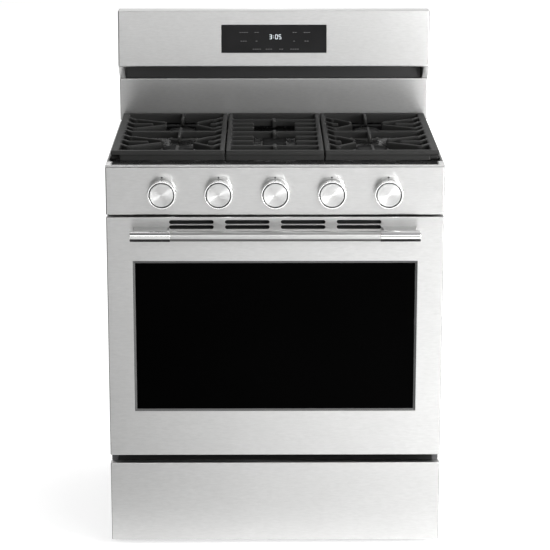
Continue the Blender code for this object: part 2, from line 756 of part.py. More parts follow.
def side_grate(name, side):
    """A grate over two burners: fingers point from the rails and bars at each burner."""
    x = sorted((side * (GRATE_SPLIT + 0.0008), side * GRATE_X))
    grate = grate_frame(name, x)
    burners = [burner for burner in BURNERS.values() if burner[0] * side > 0]
    bars = bmesh.new()
    add_bar(bars, (x[0] + 0.003, GRATE_MID), (x[1] - 0.003, GRATE_MID), GRATE_BAR, FINGER_Z)
    join(grate, bars)
    diagonals = bmesh.new()
    crosses = bmesh.new()
    for centre_x, centre_depth, _, _ in burners:
        for way in (-1, 1):
            edge = (x[1] - 0.004) if way > 0 else (x[0] + 0.004)
            for slope in (-1, 1):
                add_bar(diagonals, (centre_x + way * 0.036, centre_depth + slope * 0.014),
                        (edge, centre_depth + slope * 0.066), FINGER, FINGER_Z)
            add_bar(diagonals, (centre_x + way * 0.070, centre_depth), (edge, centre_depth), FINGER, FINGER_Z)
        in_front = centre_depth < GRATE_MID
        ends = (GRATE_DEPTH[0] + 0.006, GRATE_MID) if in_front else (GRATE_MID, GRATE_DEPTH[1] - 0.006)
        for way, end in zip((-1, 1), ends):
            add_bar(crosses, (centre_x, centre_depth + way * 0.045), (centre_x, end), FINGER, FINGER_Z)
    join(grate, diagonals)
    join(grate, crosses)


def center_grate():
    """The grate over the long middle burner, with three bars across and short fingers."""
    edge = GRATE_SPLIT - 0.0008
    grate = grate_frame("grate_center", (-edge, edge))
    across = bmesh.new()
    for depth in CENTER_BARS:
        add_bar(across, (-edge + 0.004, depth), (edge - 0.004, depth), GRATE_BAR, FINGER_Z)
    for depth in CENTER_FINGERS:
        for side in (-1, 1):
            add_bar(across, (side * 0.048, depth), (side * (edge - 0.004), depth), FINGER, FINGER_Z)
    join(grate, across)
    along = bmesh.new()
    for depth in CENTER_BARS:
        add_bar(along, (0, depth - 0.022), (0, depth + 0.022), FINGER, FINGER_Z)
    join(grate, along)


# Control panel, gas rail and knobs


def knob_x(index):
    return (index - 2) * KNOB_PITCH


def control_panel():
    """The fascia: a pan open to the rear, with a hole for each stem."""
    panel = box("control_panel", (-HALF, HALF), (0, PANEL_DEPTH), PANEL_Z, brushed_steel())
    cut_box(panel, inside((-HALF, HALF)), (SHEET, 0.06), inside(PANEL_Z))
    bm = bmesh.new()
    for index in range(5):
        add_rod(bm, at(knob_x(index), -0.01, KNOB_Z), at(knob_x(index), 0.01, KNOB_Z), STEM_RADIUS + 0.001)
    cut(panel, bm)


def gas_manifold():
    """The gas rail with a valve body at each knob and the supply pipe from the regulator."""
    rail_half = (MANIFOLD_RAIL_DEPTH[1] - MANIFOLD_RAIL_DEPTH[0]) / 2
    rail_z = (KNOB_Z - rail_half, KNOB_Z + rail_half)
    rail = box("gas_manifold", MANIFOLD_RAIL_X, MANIFOLD_RAIL_DEPTH, rail_z, galvanised_steel())
    valves = bmesh.new()
    for index in range(5):
        x = knob_x(index)
        add_box(valves, (x - VALVE_HALF, x + VALVE_HALF), VALVE_DEPTH, (KNOB_Z - 0.014, KNOB_Z + 0.014))
    middle = sum(MANIFOLD_RAIL_DEPTH) / 2
    add_rod(valves, at(PIPE_X, middle, KNOB_Z), at(PIPE_X, REGULATOR_DEPTH, KNOB_Z), PIPE_RADIUS)
    join(rail, valves)
    elbow = 0.008
    feed_z = 0.068
    riser = bmesh.new()
    add_box(riser, (PIPE_X - elbow, PIPE_X + elbow), (REGULATOR_DEPTH - elbow, REGULATOR_DEPTH + elbow),
            (feed_z - elbow, KNOB_Z + elbow))
    join(rail, riser)
    feed = bmesh.new()
    beside = REGULATOR_X + REGULATOR_RADIUS + 0.002
    add_rod(feed, at(beside, REGULATOR_DEPTH, feed_z), at(PIPE_X, REGULATOR_DEPTH, feed_z), PIPE_RADIUS)
    join(rail, feed)
    sockets = bmesh.new()
    for index in range(5):
        x = knob_x(index)
        add_rod(sockets, at(x, 0.05, KNOB_Z), at(x, STEM_DEPTH[1] + 0.002, KNOB_Z), STEM_RADIUS + 2 * GAP, 16)
    cut(rail, sockets)


def gas_regulator():
    """The pressure regulator at the foot of the back, with its inlet at the rear panel."""
    bm = bmesh.new()
    where = at(REGULATOR_X, REGULATOR_DEPTH, BASE_Z[1] + GAP)
    neck = 0.010
    profile = [(0, 0.088), (neck, 0.088), (neck, 0.072), (REGULATOR_RADIUS, 0.068), (REGULATOR_RADIUS, 0),
               (0, 0)]
    add_turned(bm, profile, where, Vector((0, 0, 1)), 16)
    regulator = make("gas_regulator", bm, brass(), where)
    bm = bmesh.new()
    inlet = [at(REGULATOR_X, depth, REGULATOR_Z) for depth in (REGULATOR_DEPTH, BACK)]
    add_rod(bm, *inlet, INLET_RADIUS)
    join(regulator, bm)
    round_off(regulator)


def valve_stem(index, name):
    """A stem with a flat along it, from inside the valve to inside the knob."""
    axis = at(knob_x(index), 0, KNOB_Z)
    bm = bmesh.new()
    start = at(knob_x(index), STEM_DEPTH[0], KNOB_Z)
    add_prism(bm, d_outline(start, STEM_RADIUS, STEM_FLAT), Vector((0, STEM_DEPTH[1] - STEM_DEPTH[0], 0)))
    return make(f"valve_stem_{name}", bm, galvanised_steel(), axis)


def knob(index, name, stem):
    """A turned knob with a stepped face and a bore that matches the stem."""
    front, rear = KNOB_DEPTH
    profile = [(0, -front), (KNOB_FACE, -front - 0.001), (KNOB_FACE + 0.0008, -front - 0.003),
               (KNOB_FACE + 0.003, -front - 0.003), (KNOB_FACE + 0.0035, -front),
               (KNOB_RADIUS - 0.0006, -front - 0.0004), (KNOB_RADIUS, -front - 0.002), (KNOB_RADIUS, -rear),
               (0, -rear)]
    bm = bmesh.new()
    centre = at(knob_x(index), 0, KNOB_Z)
    add_turned(bm, profile, centre, Vector((0, -1, 0)), 24)
    piece = make(f"knob_{name}", bm, polished_steel(), centre, stem)
    bore = bmesh.new()
    start = at(knob_x(index), rear + 0.005, KNOB_Z)
    depth = STEM_DEPTH[0] - 0.0045 - (rear + 0.005)
    add_prism(bore, d_outline(start, STEM_RADIUS + GAP, STEM_FLAT + GAP), Vector((0, depth, 0)))
    cut(piece, bore)
    round_off(piece)


# Backguard


def backguard_panel():
    """The upright sheet behind the grates, with an end piece on each side of the vent slot."""
    back = CONSOLE_BACK - 0.0005
    panel = box("backguard_panel", (-HALF, HALF), (GUARD_DEPTH, back), (GUARD_Z, SLOT_Z[0]), brushed_steel())
    bm = bmesh.new()
    for side in (-1, 1):
        slanted = [(GUARD_DEPTH, SLOT_Z[0] - 0.004), (GUARD_DEPTH, SLOT_Z[0]),
                   (CONSOLE_LOW[0] + 0.002, SLOT_Z[1] - GAP), (back, SLOT_Z[1] - GAP),
                   (back, SLOT_Z[0] - 0.004)]
        near, far = sorted((side * SLOT_X, side * HALF))
        add_prism(bm, [at(near, depth, z) for depth, z in slanted], Vector((far - near, 0, 0)))
    join(panel, bm)
    cut_box(panel, inside((-HALF, HALF)), (GUARD_DEPTH + SHEET, back + 0.01), (0.89, SLOT_Z[0] - SHEET))


def lean_outline(margin, back):
    """The console's section, drawn in by a margin on its front, top and bottom."""
    slope = (CONSOLE_HIGH[0] - CONSOLE_LOW[0]) / (CONSOLE_HIGH[1] - CONSOLE_LOW[1])
    low, high = CONSOLE_LOW[1] + margin, CONSOLE_HIGH[1] - margin
    front = [(CONSOLE_LOW[0] + margin + slope * (z - CONSOLE_LOW[1]), z) for z in (low, high)]
    return front + [(back, high), (back, low)]


def display_frame():
    """The centre of the display on the leaning face, and the matrix that lays a shape on it."""
    along = Vector((0, math.sin(LEAN), math.cos(LEAN)))
    centre = at(0, *CONSOLE_LOW) + along * DISPLAY_ALONG
    return Matrix.Translation(centre) @ Matrix.Rotation(-LEAN, 4, "X")


def backguard_console():
    """The leaning box at the top: open behind, with the display's opening in its face."""
    bm = bmesh.new()
    outline = [at(-HALF, depth, z) for depth, z in lean_outline(0, CONSOLE_BACK)]
    add_prism(bm, outline, Vector((WIDTH, 0, 0)))
    console = make("backguard_console", bm, brushed_steel())
    bm = bmesh.new()
    outline = [at(SHEET - HALF, depth, z) for depth, z in lean_outline(SHEET, CONSOLE_BACK + 0.01)]
    add_prism(bm, outline, Vector((WIDTH - 2 * SHEET, 0, 0)))
    cut(console, bm)
    bm = bmesh.new()
    margin = 0.0004
    size = Matrix.Diagonal((DISPLAY_SIZE[0] + 2 * margin, 0.02, DISPLAY_SIZE[1] + 2 * margin, 1))
    bmesh.ops.create_cube(bm, size=1, matrix=display_frame() @ size)
    cut(console, bm)


def display_glass():
    thickness = 0.003
    frame = display_frame()
    size = Matrix.Diagonal((DISPLAY_SIZE[0], thickness, DISPLAY_SIZE[1], 1))
    bm = bmesh.new()
    bmesh.ops.create_cube(bm, size=1, matrix=size)
    glass = make("display_glass", bm, black_glass())
    glass.rotation_euler = frame.to_euler()
    glass.location = frame @ Vector((0, thickness / 2 - 0.0002, 0))


def backguard_rear_cover():
    """The duct cover at the back, open towards the front."""
    limits = (-HALF + 0.0025, HALF - 0.0025)
    heights = (SIDE_Z[1] + GAP, COVER_TOP)
    cover = box("backguard_rear_cover", limits, (CONSOLE_BACK + GAP, BACK), heights, galvanised_steel())
    cut_box(cover, inside(limits), (0.5, BACK - SHEET), inside(heights))


def main():
    clear_scene()
    base_frame()
    rear_panel()
    front_frame()
    for side, name in ((-1, "left"), (1, "right")):
        side_panel(side, name)
        drawer_rail(side, name)
        for depth, end in zip(FOOT_DEPTHS, ("front", "rear")):
            foot(side, depth, f"{end}_{name}")
    oven_liner()
    oven_floor_plate()
    bake_burner()
    broil_burner()
    for name, level in RACK_PLACES.items():
        oven_rack(name, RACK_LEVELS[level])
    door_gasket()
    door = empty("door_axis", at(0, HINGE_DEPTH, HINGE_Z))
    door_outer_panel(door)
    door_window_glass(door)
    door_inner_panel(door)
    door_inner_glass(door)
    handle_bar(door)
    for side, name in ((-1, "left"), (1, "right")):
        door_hinge(side, name, door)
        handle_mount(side, name, door)
    drawer = empty("drawer_axis", at(0, 0, DRAWER_BOX_Z[0]))
    drawer_front(drawer)
    drawer_box(drawer)
    cooktop_panel()
    for name, burner in BURNERS.items():
        burner_base(name, *burner)
        burner_cap(name, *burner)
    side_grate("grate_left", -1)
    center_grate()
    side_grate("grate_right", 1)
    control_panel()
    gas_manifold()
    gas_regulator()
    for index, name in enumerate(KNOB_NAMES):
        knob(index, name, valve_stem(index, name))
    backguard_panel()
    backguard_console()
    display_glass()
    backguard_rear_cover()


main()
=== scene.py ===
"""The looks of a freestanding gas range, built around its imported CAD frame.

Metres, +Z up. The front faces -Y, and a depth is measured backwards from the plane of the door skin.
"""

import math

import bmesh
import bpy
from mathutils import Matrix, Vector


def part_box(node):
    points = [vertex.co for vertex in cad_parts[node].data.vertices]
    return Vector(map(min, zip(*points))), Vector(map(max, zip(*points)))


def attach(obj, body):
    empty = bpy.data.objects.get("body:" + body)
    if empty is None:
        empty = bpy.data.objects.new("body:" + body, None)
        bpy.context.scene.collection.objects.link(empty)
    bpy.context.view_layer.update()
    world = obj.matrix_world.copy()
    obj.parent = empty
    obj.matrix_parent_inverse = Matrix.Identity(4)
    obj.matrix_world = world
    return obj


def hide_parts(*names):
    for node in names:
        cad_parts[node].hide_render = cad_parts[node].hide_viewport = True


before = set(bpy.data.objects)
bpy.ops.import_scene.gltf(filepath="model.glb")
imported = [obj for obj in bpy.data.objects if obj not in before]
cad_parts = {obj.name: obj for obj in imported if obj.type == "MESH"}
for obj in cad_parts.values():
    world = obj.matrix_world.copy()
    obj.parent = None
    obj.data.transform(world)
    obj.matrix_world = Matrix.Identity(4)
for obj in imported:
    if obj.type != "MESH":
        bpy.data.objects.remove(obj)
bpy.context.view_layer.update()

# Places taken from the CAD nodes


def spans(node):
    """The x, y and z ranges of a CAD node."""
    return tuple(zip(*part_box(node)))


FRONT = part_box("door_outer_panel")[0].y
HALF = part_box("door_outer_panel")[1].x
SHEET = 0.0015
UP = Vector((0, 0, 1))
ACROSS = Vector((1, 0, 0))
OUT = Vector((0, -1, 0))
BACK = Vector((0, 1, 0))
SIDES = ((-1, "left"), (1, "right"))
BURNERS = ("front_left", "rear_left", "center", "rear_right", "front_right")


def at(x, depth, z):
    return Vector((x, FRONT + depth, z))


def depths(node):
    return tuple(y - FRONT for y in spans(node)[1])


def centre(node):
    return sum(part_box(node), Vector()) / 2


# Sizes of the visual pieces; a _Z, _LOW or _TOP is a height above the floor

FOLD = 0.0028
VENT_PITCH = 0.1253
VENT_LENGTH = 0.100
VENT_HEIGHT = 0.0088
VENT_ROWS = (0.7617, 0.7734)
SLEEVE_START = 0.234
KNOB_BORE = 0.0046
KNOB_GROOVE = (0.0262, 0.0286)
GROOVE_DEEP = 0.0045
MARK_UP = 0.0335
LIP = 0.0030
TRIM = 0.0021
CORNER = (0.0150, 0.0400)
PANEL_BACK = depths("control_panel")[1]
ROLL = (0.4, 0.8, 1.2, math.pi / 2)
WELL_Z = 0.8890
WELL_REACH = 0.3740
RAIL_LOW = 0.9021
RAIL_TOP = 0.9247
FINGER_LOW = 0.9090
ROOT = (0.017, 0.030)
VOXEL = 0.0017
SWELL = 0.0004
VENT_REACH = 0.364
CONSOLE_TOP = 0.530
DISPLAY_SIZE = (0.2557, 0.0675)
DISPLAY_ALONG = 0.068
CLOCK_UP = 0.0048
SEGMENTS = {"0": "abcdef", "3": "abgcd", "5": "afgcd"}
TOUCH_ROWS = ((0.0155, ((-0.0735, 0.022), (-0.0415, 0.012), (0.050, 0.010), (0.080, 0.016))),
              (-0.0055, ((-0.0735, 0.017), (-0.0415, 0.007), (0.050, 0.007), (0.080, 0.012))),
              (-0.0250, ((-0.0425, 0.020), (-0.0115, 0.018), (0.0185, 0.013), (0.049, 0.020))))
TOUCH_STEP = 0.0055
CORD_X, CORD_Z = -0.290, 0.110
GAS_Z = 0.095


# Materials: each is one Principled shader whose colour, roughness and bump come from nodes


def add_node(tree, kind, inputs=(), **settings):
    """A shader node, with each input set to a value or linked to a socket."""
    made = tree.nodes.new("ShaderNode" + kind)
    for key, value in settings.items():
        setattr(made, key, value)
    for key, value in dict(inputs).items():
        if isinstance(value, bpy.types.NodeSocket):
            tree.links.new(value, made.inputs[key])
        else:
            made.inputs[key].default_value = value
    return made


class Surface:
    """A procedural material, with short calls for the nodes that it needs."""

    def __init__(self, name, **sockets):
        self.material = bpy.data.materials.new(name)
        self.material.use_nodes = True
        self.tree = self.material.node_tree
        self.shader = self.tree.nodes["Principled BSDF"]
        self.height = None
        for label, value in sockets.items():
            self.shader.inputs[label.replace("_", " ")].default_value = value

    def node(self, kind, inputs=(), **settings):
        return add_node(self.tree, kind, inputs, **settings)

    def place(self, stretch):
        """Object coordinates, multiplied by a number along each axis."""
        coordinates = self.node("TexCoord").outputs["Object"]
        return self.node("Mapping", {"Vector": coordinates, "Scale": stretch}).outputs["Vector"]

    def noise(self, stretch, detail=2.0, rough=0.5):
        where = self.place(stretch)
        inputs = {"Vector": where, "Scale": 1.0, "Detail": detail, "Roughness": rough}
        return self.node("TexNoise", inputs).outputs["Fac"]

    def cells(self, size, feature="F1"):
        where = self.place((1 / size,) * 3)
        return self.node("TexVoronoi", {"Vector": where, "Scale": 1.0}, feature=feature).outputs["Distance"]

    def rescale(self, value, low=0, high=1, start=0.3, end=0.7):
        inputs = {"Value": value, "From Min": start, "From Max": end, "To Min": low, "To Max": high}
        return self.node("MapRange", inputs).outputs["Result"]

    def blend(self, share, first, second):
        mix = self.node("Mix", data_type="RGBA")
        self.tree.links.new(share, mix.inputs["Factor"])
        for key, value in (("A", first), ("B", second)):
            socket = next(s for s in mix.inputs if s.name == key and s.type == "RGBA")
            if isinstance(value, bpy.types.NodeSocket):
                self.tree.links.new(value, socket)
            else:
                socket.default_value = (*value, 1.0)
        return next(s for s in mix.outputs if s.type == "RGBA")

    def tint(self, value, colour, gain):
        """A colour that a noise pulls towards a lighter or darker shade of itself."""
        return self.blend(self.rescale(value), colour, [part * gain for part in colour])

    def multiply(self, first, second):
        return self.node("Math", {0: first, 1: second}, operation="MULTIPLY").outputs[0]

    def painted_underside_mask(self):
        """1 where the surface leans clearly below the horizontal, 0 elsewhere: where a dark reflection is
        painted.
        """
        normal = self.node("TexCoord").outputs["Normal"]
        lean = self.node("SeparateXYZ", {0: normal}).outputs["Z"]
        return self.rescale(lean, start=-0.24, end=-0.36)

    def connect(self, label, output):
        self.tree.links.new(output, self.shader.inputs[label])

    def bump(self, height, distance, strength=1.0):
        inputs = {"Height": height, "Distance": distance, "Strength": strength}
        if self.height:
            inputs["Normal"] = self.height
        self.height = self.node("Bump", inputs).outputs["Normal"]
        self.connect("Normal", self.height)


def brushed(name, dark, light, rough, anisotropy, under=None):
    """Sheet metal with fine scratches along X, faint broader streaks and cloudy patches; under, when given, is
    a dark reflection painted on the parts that face down.
    """
    made = Surface(name, Metallic=1.0, Anisotropic=anisotropy, Anisotropic_Rotation=0.25)
    fine = made.noise((45, 1500, 1500), 3.0)
    streak = made.noise((75, 330, 330), 2.0)
    cloud = made.noise((9, 9, 14), 1.0)
    tone = made.blend(made.rescale(streak, start=0.25, end=0.75), dark, light)
    tone = made.blend(made.rescale(cloud, 0, 0.3), tone, dark)
    tone = made.blend(made.rescale(fine, 0, 0.45), tone, light)
    # under, when given, paints a dark reflection where the surface faces down.
    made.connect("Base Color", made.blend(made.painted_underside_mask(), tone, under) if under else tone)
    made.connect("Roughness", made.rescale(streak, rough - 0.02, rough + 0.03))
    made.bump(fine, 0.00002, 0.35)
    return made.material


def polished(name, colour, rough, under=None):
    made = Surface(name, Metallic=1.0)
    smear = made.noise((60, 60, 60), 3.0)
    tone = made.tint(smear, colour, 0.96)
    # under, when given, paints a dark reflection where the surface faces down.
    made.connect("Base Color", made.blend(made.painted_underside_mask(), tone, under) if under else tone)
    made.connect("Roughness", made.rescale(smear, rough * 0.7, rough * 1.4))
    return made.material


def spun(name):
    """Turned metal: rings about Y, so its shine fans out from the centre."""
    made = Surface(name, Metallic=1.0, Anisotropic=0.93, Anisotropic_Rotation=0.25)
    made.connect("Tangent", made.node("Tangent", direction_type="RADIAL", axis="Y").outputs[0])
    centred = made.node("TexCoord").outputs["Generated"]
    shift = made.node("Mapping", {"Vector": centred, "Location": (-0.5, 0, -0.5)})
    flat = made.node("Mapping", {"Vector": shift.outputs[0], "Scale": (1, 0, 1)})
    inputs = {"Vector": flat.outputs[0], "Scale": 26.0, "Distortion": 0.4, "Detail": 2.0}
    rings = made.node("TexWave", inputs, wave_type="RINGS", rings_direction="SPHERICAL").outputs["Fac"]
    made.connect("Base Color", made.blend(rings, (0.62, 0.62, 0.615), (0.76, 0.76, 0.755)))
    made.connect("Roughness", made.rescale(rings, 0.30, 0.36, 0, 1))
    made.bump(rings, 0.00001, 0.4)
    return made.material


def cast(name, colour, worn, rough, grain=0.0011):
    """A cast surface: granular, and lighter where its edges are worn."""
    made = Surface(name, Specular_IOR_Level=0.35)
    grains = made.noise((1 / grain,) * 3, 3.0)
    patch = made.noise((22, 22, 22), 2.0)
    tone = made.tint(patch, colour, 1.25)
    edge = made.node("NewGeometry").outputs["Pointiness"]
    worn_share = made.multiply(made.rescale(edge, start=0.52, end=0.62), made.rescale(grains, 0.3))
    made.connect("Base Color", made.blend(worn_share, tone, worn))
    made.connect("Roughness", made.rescale(grains, rough - 0.06, rough + 0.08))
    made.bump(grains, 0.00018, 0.55)
    return made.material


def enamel(name, colour, rough, speck=None, level=0.5):
    """Glossy enamel with a slight waviness and, on oven parts, pale specks."""
    made = Surface(name, Specular_IOR_Level=level)
    wavy = made.noise((90, 90, 90), 2.0)
    tone = made.tint(wavy, colour, 1.3)
    if speck:
        dots = made.rescale(made.cells(0.0035), 1, 0, 0.10, 0.22)
        few = made.rescale(made.noise((420, 420, 420), 0.0), start=0.50, end=0.58)
        tone = made.blend(made.multiply(dots, few), tone, speck)
    made.connect("Base Color", tone)
    made.connect("Roughness", made.rescale(made.noise((35, 35, 35), 3.0), rough * 0.8, rough * 1.4))
    made.bump(wavy, 0.0001, 0.25)
    return made.material


def powder_paint(name, colour, rough):
    made = Surface(name)
    peel = made.noise((650, 650, 650), 2.0)
    cloud = made.noise((5, 5, 5), 2.0)
    made.connect("Base Color", made.tint(cloud, colour, 1.15))
    made.connect("Roughness", made.rescale(peel, rough - 0.05, rough + 0.05))
    made.bump(peel, 0.00008, 0.5)
    return made.material


def zinc(name):
    """Galvanised sheet with its flowery crystals."""
    made = Surface(name, Metallic=1.0)
    where = made.place((55, 55, 55))
    crystals = made.node("TexVoronoi", {"Vector": where, "Scale": 1.0, "Randomness": 1.0})
    shade = made.node("SeparateColor", {0: crystals.outputs["Color"]}).outputs[0]
    dust = made.noise((300, 300, 300), 3.0)
    tone = made.blend(shade, (0.42, 0.44, 0.45), (0.58, 0.60, 0.61))
    made.connect("Base Color", made.blend(made.rescale(dust, 0, 0.3), tone, (0.36, 0.37, 0.38)))
    made.connect("Roughness", made.rescale(shade, 0.36, 0.52, 0, 1))
    made.bump(dust, 0.00003, 0.4)
    return made.material


def dark_glass(name, colour=(0.0002, 0.0002, 0.0002), rough=0.03, level=0.012):
    made = Surface(name, Specular_IOR_Level=level)
    smear = made.noise((9, 9, 9), 3.0)
    made.connect("Base Color", made.tint(smear, colour, 1.6))
    made.connect("Roughness", made.rescale(smear, rough, rough * 2.5))
    return made.material


def braid(name):
    """Woven glass fibre: two crossing sets of strands."""
    made = Surface(name, Sheen_Weight=0.2)
    waves = []
    for slant in (1, -1):
        where = made.place((900, 900 * slant, 900 * slant))
        inputs = {"Vector": where, "Scale": 0.3, "Distortion": 1.0}
        waves.append(made.node("TexWave", inputs, bands_direction="DIAGONAL").outputs["Fac"])
    weave = made.multiply(*waves)
    made.connect("Base Color", made.blend(weave, (0.035, 0.034, 0.033), (0.16, 0.155, 0.15)))
    made.connect("Roughness", made.rescale(weave, 0.95, 0.75, 0, 1))
    made.bump(weave, 0.0006, 0.8)
    return made.material


def moulded(name, colour, rough=0.55):
    made = Surface(name)
    grain = made.noise((1400, 1400, 1400), 2.0)
    made.connect("Base Color", made.tint(grain, colour, 1.3))
    made.connect("Roughness", made.rescale(grain, rough - 0.05, rough + 0.05))
    made.bump(grain, 0.00006, 0.5)
    return made.material


def glowing(name, colour, strength):
    made = Surface(name, Emission_Color=(*colour, 1.0), Emission_Strength=strength, Roughness=0.4)
    mist = made.noise((900, 900, 900), 1.0)
    made.connect("Base Color", made.tint(mist, colour, 0.9))
    return made.material


STEEL = brushed("steel_brushed", (0.555, 0.555, 0.55), (0.635, 0.635, 0.63), 0.30, 0.55)
# A darker copy of the brushed steel for the side returns: painted shade.
STEEL_RETURN_PAINTED_SHADE = brushed("steel_return_painted_shade", (0.055, 0.055, 0.055), (0.075, 0.075, 0.075), 0.42, 0.3)
# The centre bar carries a painted dark reflection on its underside.
STEEL_BAR = brushed("steel_bar", (0.52, 0.52, 0.515), (0.58, 0.58, 0.575), 0.34, 0.4, (0.16, 0.16, 0.16))
# A darker copy of the brushed steel: partly the stand-offs' own grey, partly painted shade on their tops beside
# the door.
STAND_OFF = brushed("stand_off", (0.26, 0.26, 0.258), (0.33, 0.33, 0.327), 0.30, 0.3)
STEEL_EDGE = polished("steel_cut_edge", (0.62, 0.62, 0.615), 0.22)
# The sleeves carry a painted dark reflection on their undersides.
SLEEVE = polished("handle_sleeve", (0.84, 0.84, 0.835), 0.07, (0.03, 0.03, 0.03))
RIM = polished("knob_rim", (0.93, 0.93, 0.925), 0.12)
SPUN = spun("spun_face")
RACK_CHROME = polished("rack_chrome", (0.72, 0.72, 0.71), 0.16)
IRON = cast("grate_iron", (0.0155, 0.0155, 0.0148), (0.042, 0.041, 0.039), 0.60)
CAST_ALUMINIUM = cast("cast_aluminium", (0.13, 0.13, 0.127), (0.30, 0.30, 0.29), 0.52, 0.0006)
TOP_ENAMEL = enamel("cooktop_enamel", (0.009, 0.009, 0.009), 0.24, level=0.35)
CAP_ENAMEL = enamel("cap_enamel", (0.0045, 0.0045, 0.0045), 0.60, level=0.10)
OVEN_ENAMEL = enamel("oven_enamel", (0.017, 0.020, 0.030), 0.22, (0.30, 0.33, 0.38))
SIDE_PAINT = powder_paint("side_paint", (0.085, 0.085, 0.088), 0.42)
# Black paint, which also stands in for shade in recesses, gaps and behind slots.
BLACK_PAINT_AND_SHADE = powder_paint("black_paint_and_shade", (0.010, 0.010, 0.010), 0.45)
TRIM_PAINT = powder_paint("window_trim", (0.060, 0.060, 0.060), 0.36)
ZINC = zinc("galvanised")
GLASS = dark_glass("door_glass")
DISPLAY = dark_glass("display_glass", (0.019, 0.019, 0.0195), 0.05, 0.05)
INNER_GLASS = dark_glass("inner_glass", (0.004, 0.004, 0.0045), 0.04, 0.4)
BRASS = polished("brass", (0.70, 0.50, 0.21), 0.28)
BRAID = braid("gasket_braid")
PLASTIC = moulded("foot_plastic", (0.016, 0.016, 0.016))
RUBBER = moulded("rubber", (0.012, 0.012, 0.012), 0.75)
CERAMIC = moulded("igniter_ceramic", (0.72, 0.70, 0.66), 0.30)
LIT = glowing("clock_digits", (0.80, 0.86, 0.90), 0.75)
MARKS = glowing("touch_marks", (0.20, 0.20, 0.20), 0.05)
LAMP = glowing("lamp_cover", (0.75, 0.73, 0.68), 0.03)


# Mesh tools


def add_box(bm, x, depth, z):
    """A box between two x values, two depths and two heights; returns its corners."""
    corners = [bm.verts.new(at(a, b, c)) for a in x for b in depth for c in z]
    for side in ((0, 1, 3, 2), (4, 6, 7, 5), (0, 4, 5, 1), (2, 3, 7, 6), (0, 2, 6, 4), (1, 5, 7, 3)):
        bm.faces.new([corners[i] for i in side])
    return corners


def add_prism(bm, outline, travel):
    """A flat outline extruded along a vector."""
    bridge(bm, rings_of(bm, (outline, [point + travel for point in outline])), caps=True)


def bridge(bm, rings, closed=False, caps=False):
    """Faces between rings of corners; closed joins the last to the first, caps fills both ends."""
    for ring, following in zip(rings, rings[1:] + (rings[:1] if closed else [])):
        for i in range(len(ring)):
            bm.faces.new((ring[i - 1], following[i - 1], following[i], ring[i]))
    if caps:
        bm.faces.new(rings[0])
        bm.faces.new(rings[-1][::-1])


def rings_of(bm, outlines):
    return [[bm.verts.new(point) for point in outline] for outline in outlines]


def upright(x, depth, z):
    """The corners of an upright rectangle that faces forward."""
    return [at(x[0], depth, z[0]), at(x[1], depth, z[0]), at(x[1], depth, z[1]), at(x[0], depth, z[1])]


def level(x, depth, z):
    """The corners of a level rectangle."""
    return [at(x[0], depth[0], z), at(x[1], depth[0], z), at(x[1], depth[1], z), at(x[0], depth[1], z)]


def grown(limits, more):
    return limits[0] - more, limits[1] + more


def frame_along(axis):
    return axis.to_track_quat("Z", "Y").to_matrix().to_4x4()


def add_rod(bm, start, end, radius, segments=16, tip=None):
    along = end - start
    place = Matrix.Translation((start + end) / 2) @ frame_along(along)
    bmesh.ops.create_cone(bm, cap_ends=True, segments=segments, radius1=radius,
                          radius2=radius if tip is None else tip, depth=along.length, matrix=place)


def add_turned(bm, profile, origin, axis, segments=48, ripple=None, stretch=0.0, bands=None):
    """A profile of (radius, distance) points spun about an axis.

    ripple(angle, index) gives a share of each radius, stretch pulls the halves apart along Y, and
    bands gives each stretch of the profile its material.
    """
    place = Matrix.Translation(origin) @ frame_along(axis)
    rings = []
    for index, (radius, distance) in enumerate(profile):
        if radius <= 0:
            point = place @ Vector((0, 0, distance))
            lengthen = Vector((0, stretch, 0))
            if stretch:
                ends = [bm.verts.new(point + lengthen), bm.verts.new(point - lengthen)]
                rings.append([ends[0 if (place @ direction(step, segments) - origin).y > 0 else 1]
                              for step in range(segments)])
            else:
                rings.append([bm.verts.new(point)] * segments)
            continue
        ring = []
        for step in range(segments):
            share = ripple(step / segments, index) if ripple else 1.0
            point = place @ (direction(step, segments) * radius * share + Vector((0, 0, distance)))
            if stretch:
                point.y += math.copysign(stretch, point.y - origin.y)
            ring.append(bm.verts.new(point))
        rings.append(ring)
    for index, (ring, following) in enumerate(zip(rings, rings[1:])):
        for step in range(segments):
            corners = [ring[step - 1], ring[step], following[step], following[step - 1]]
            corners = list(dict.fromkeys(corners))
            if len(corners) > 2:
                face = bm.faces.new(corners)
                face.material_index = bands[index] if bands else 0


def direction(step, segments):
    angle = math.tau * (step + 0.5) / segments
    return Vector((math.cos(angle), math.sin(angle), 0))


def arc(centre_r, centre_z, radius, start, end, steps=5):
    """Points of a profile along an arc, with its angles in degrees from the outward direction."""
    angles = [math.radians(start + (end - start) * step / steps) for step in range(steps + 1)]
    return [(centre_r + radius * math.cos(a), centre_z + radius * math.sin(a)) for a in angles]


def slot_outline(middle, length, height, steps=8):
    radius = height / 2
    outline = []
    for side in (1, -1):
        for step in range(steps + 1):
            angle = math.pi * (step / steps - 0.5)
            across = side * (length / 2 - radius + radius * math.cos(angle))
            outline.append(middle + Vector((across, 0, side * radius * math.sin(angle))))
    return outline


def rounded_corners(corners, radius, steps=5):
    """A closed outline in a plane whose corners are replaced with arcs."""
    outline = []
    for i, corner in enumerate(corners):
        before = (corners[i - 1] - corner).normalized()
        after = (corners[(i + 1) % len(corners)] - corner).normalized()
        half = before.angle(after) / 2
        reach = radius / math.tan(half)
        middle = corner + (before + after).normalized() * radius / math.sin(half)
        first, last = corner + before * reach - middle, corner + after * reach - middle
        for step in range(steps + 1):
            outline.append(middle + first.slerp(last, step / steps).normalized() * radius)
    return outline


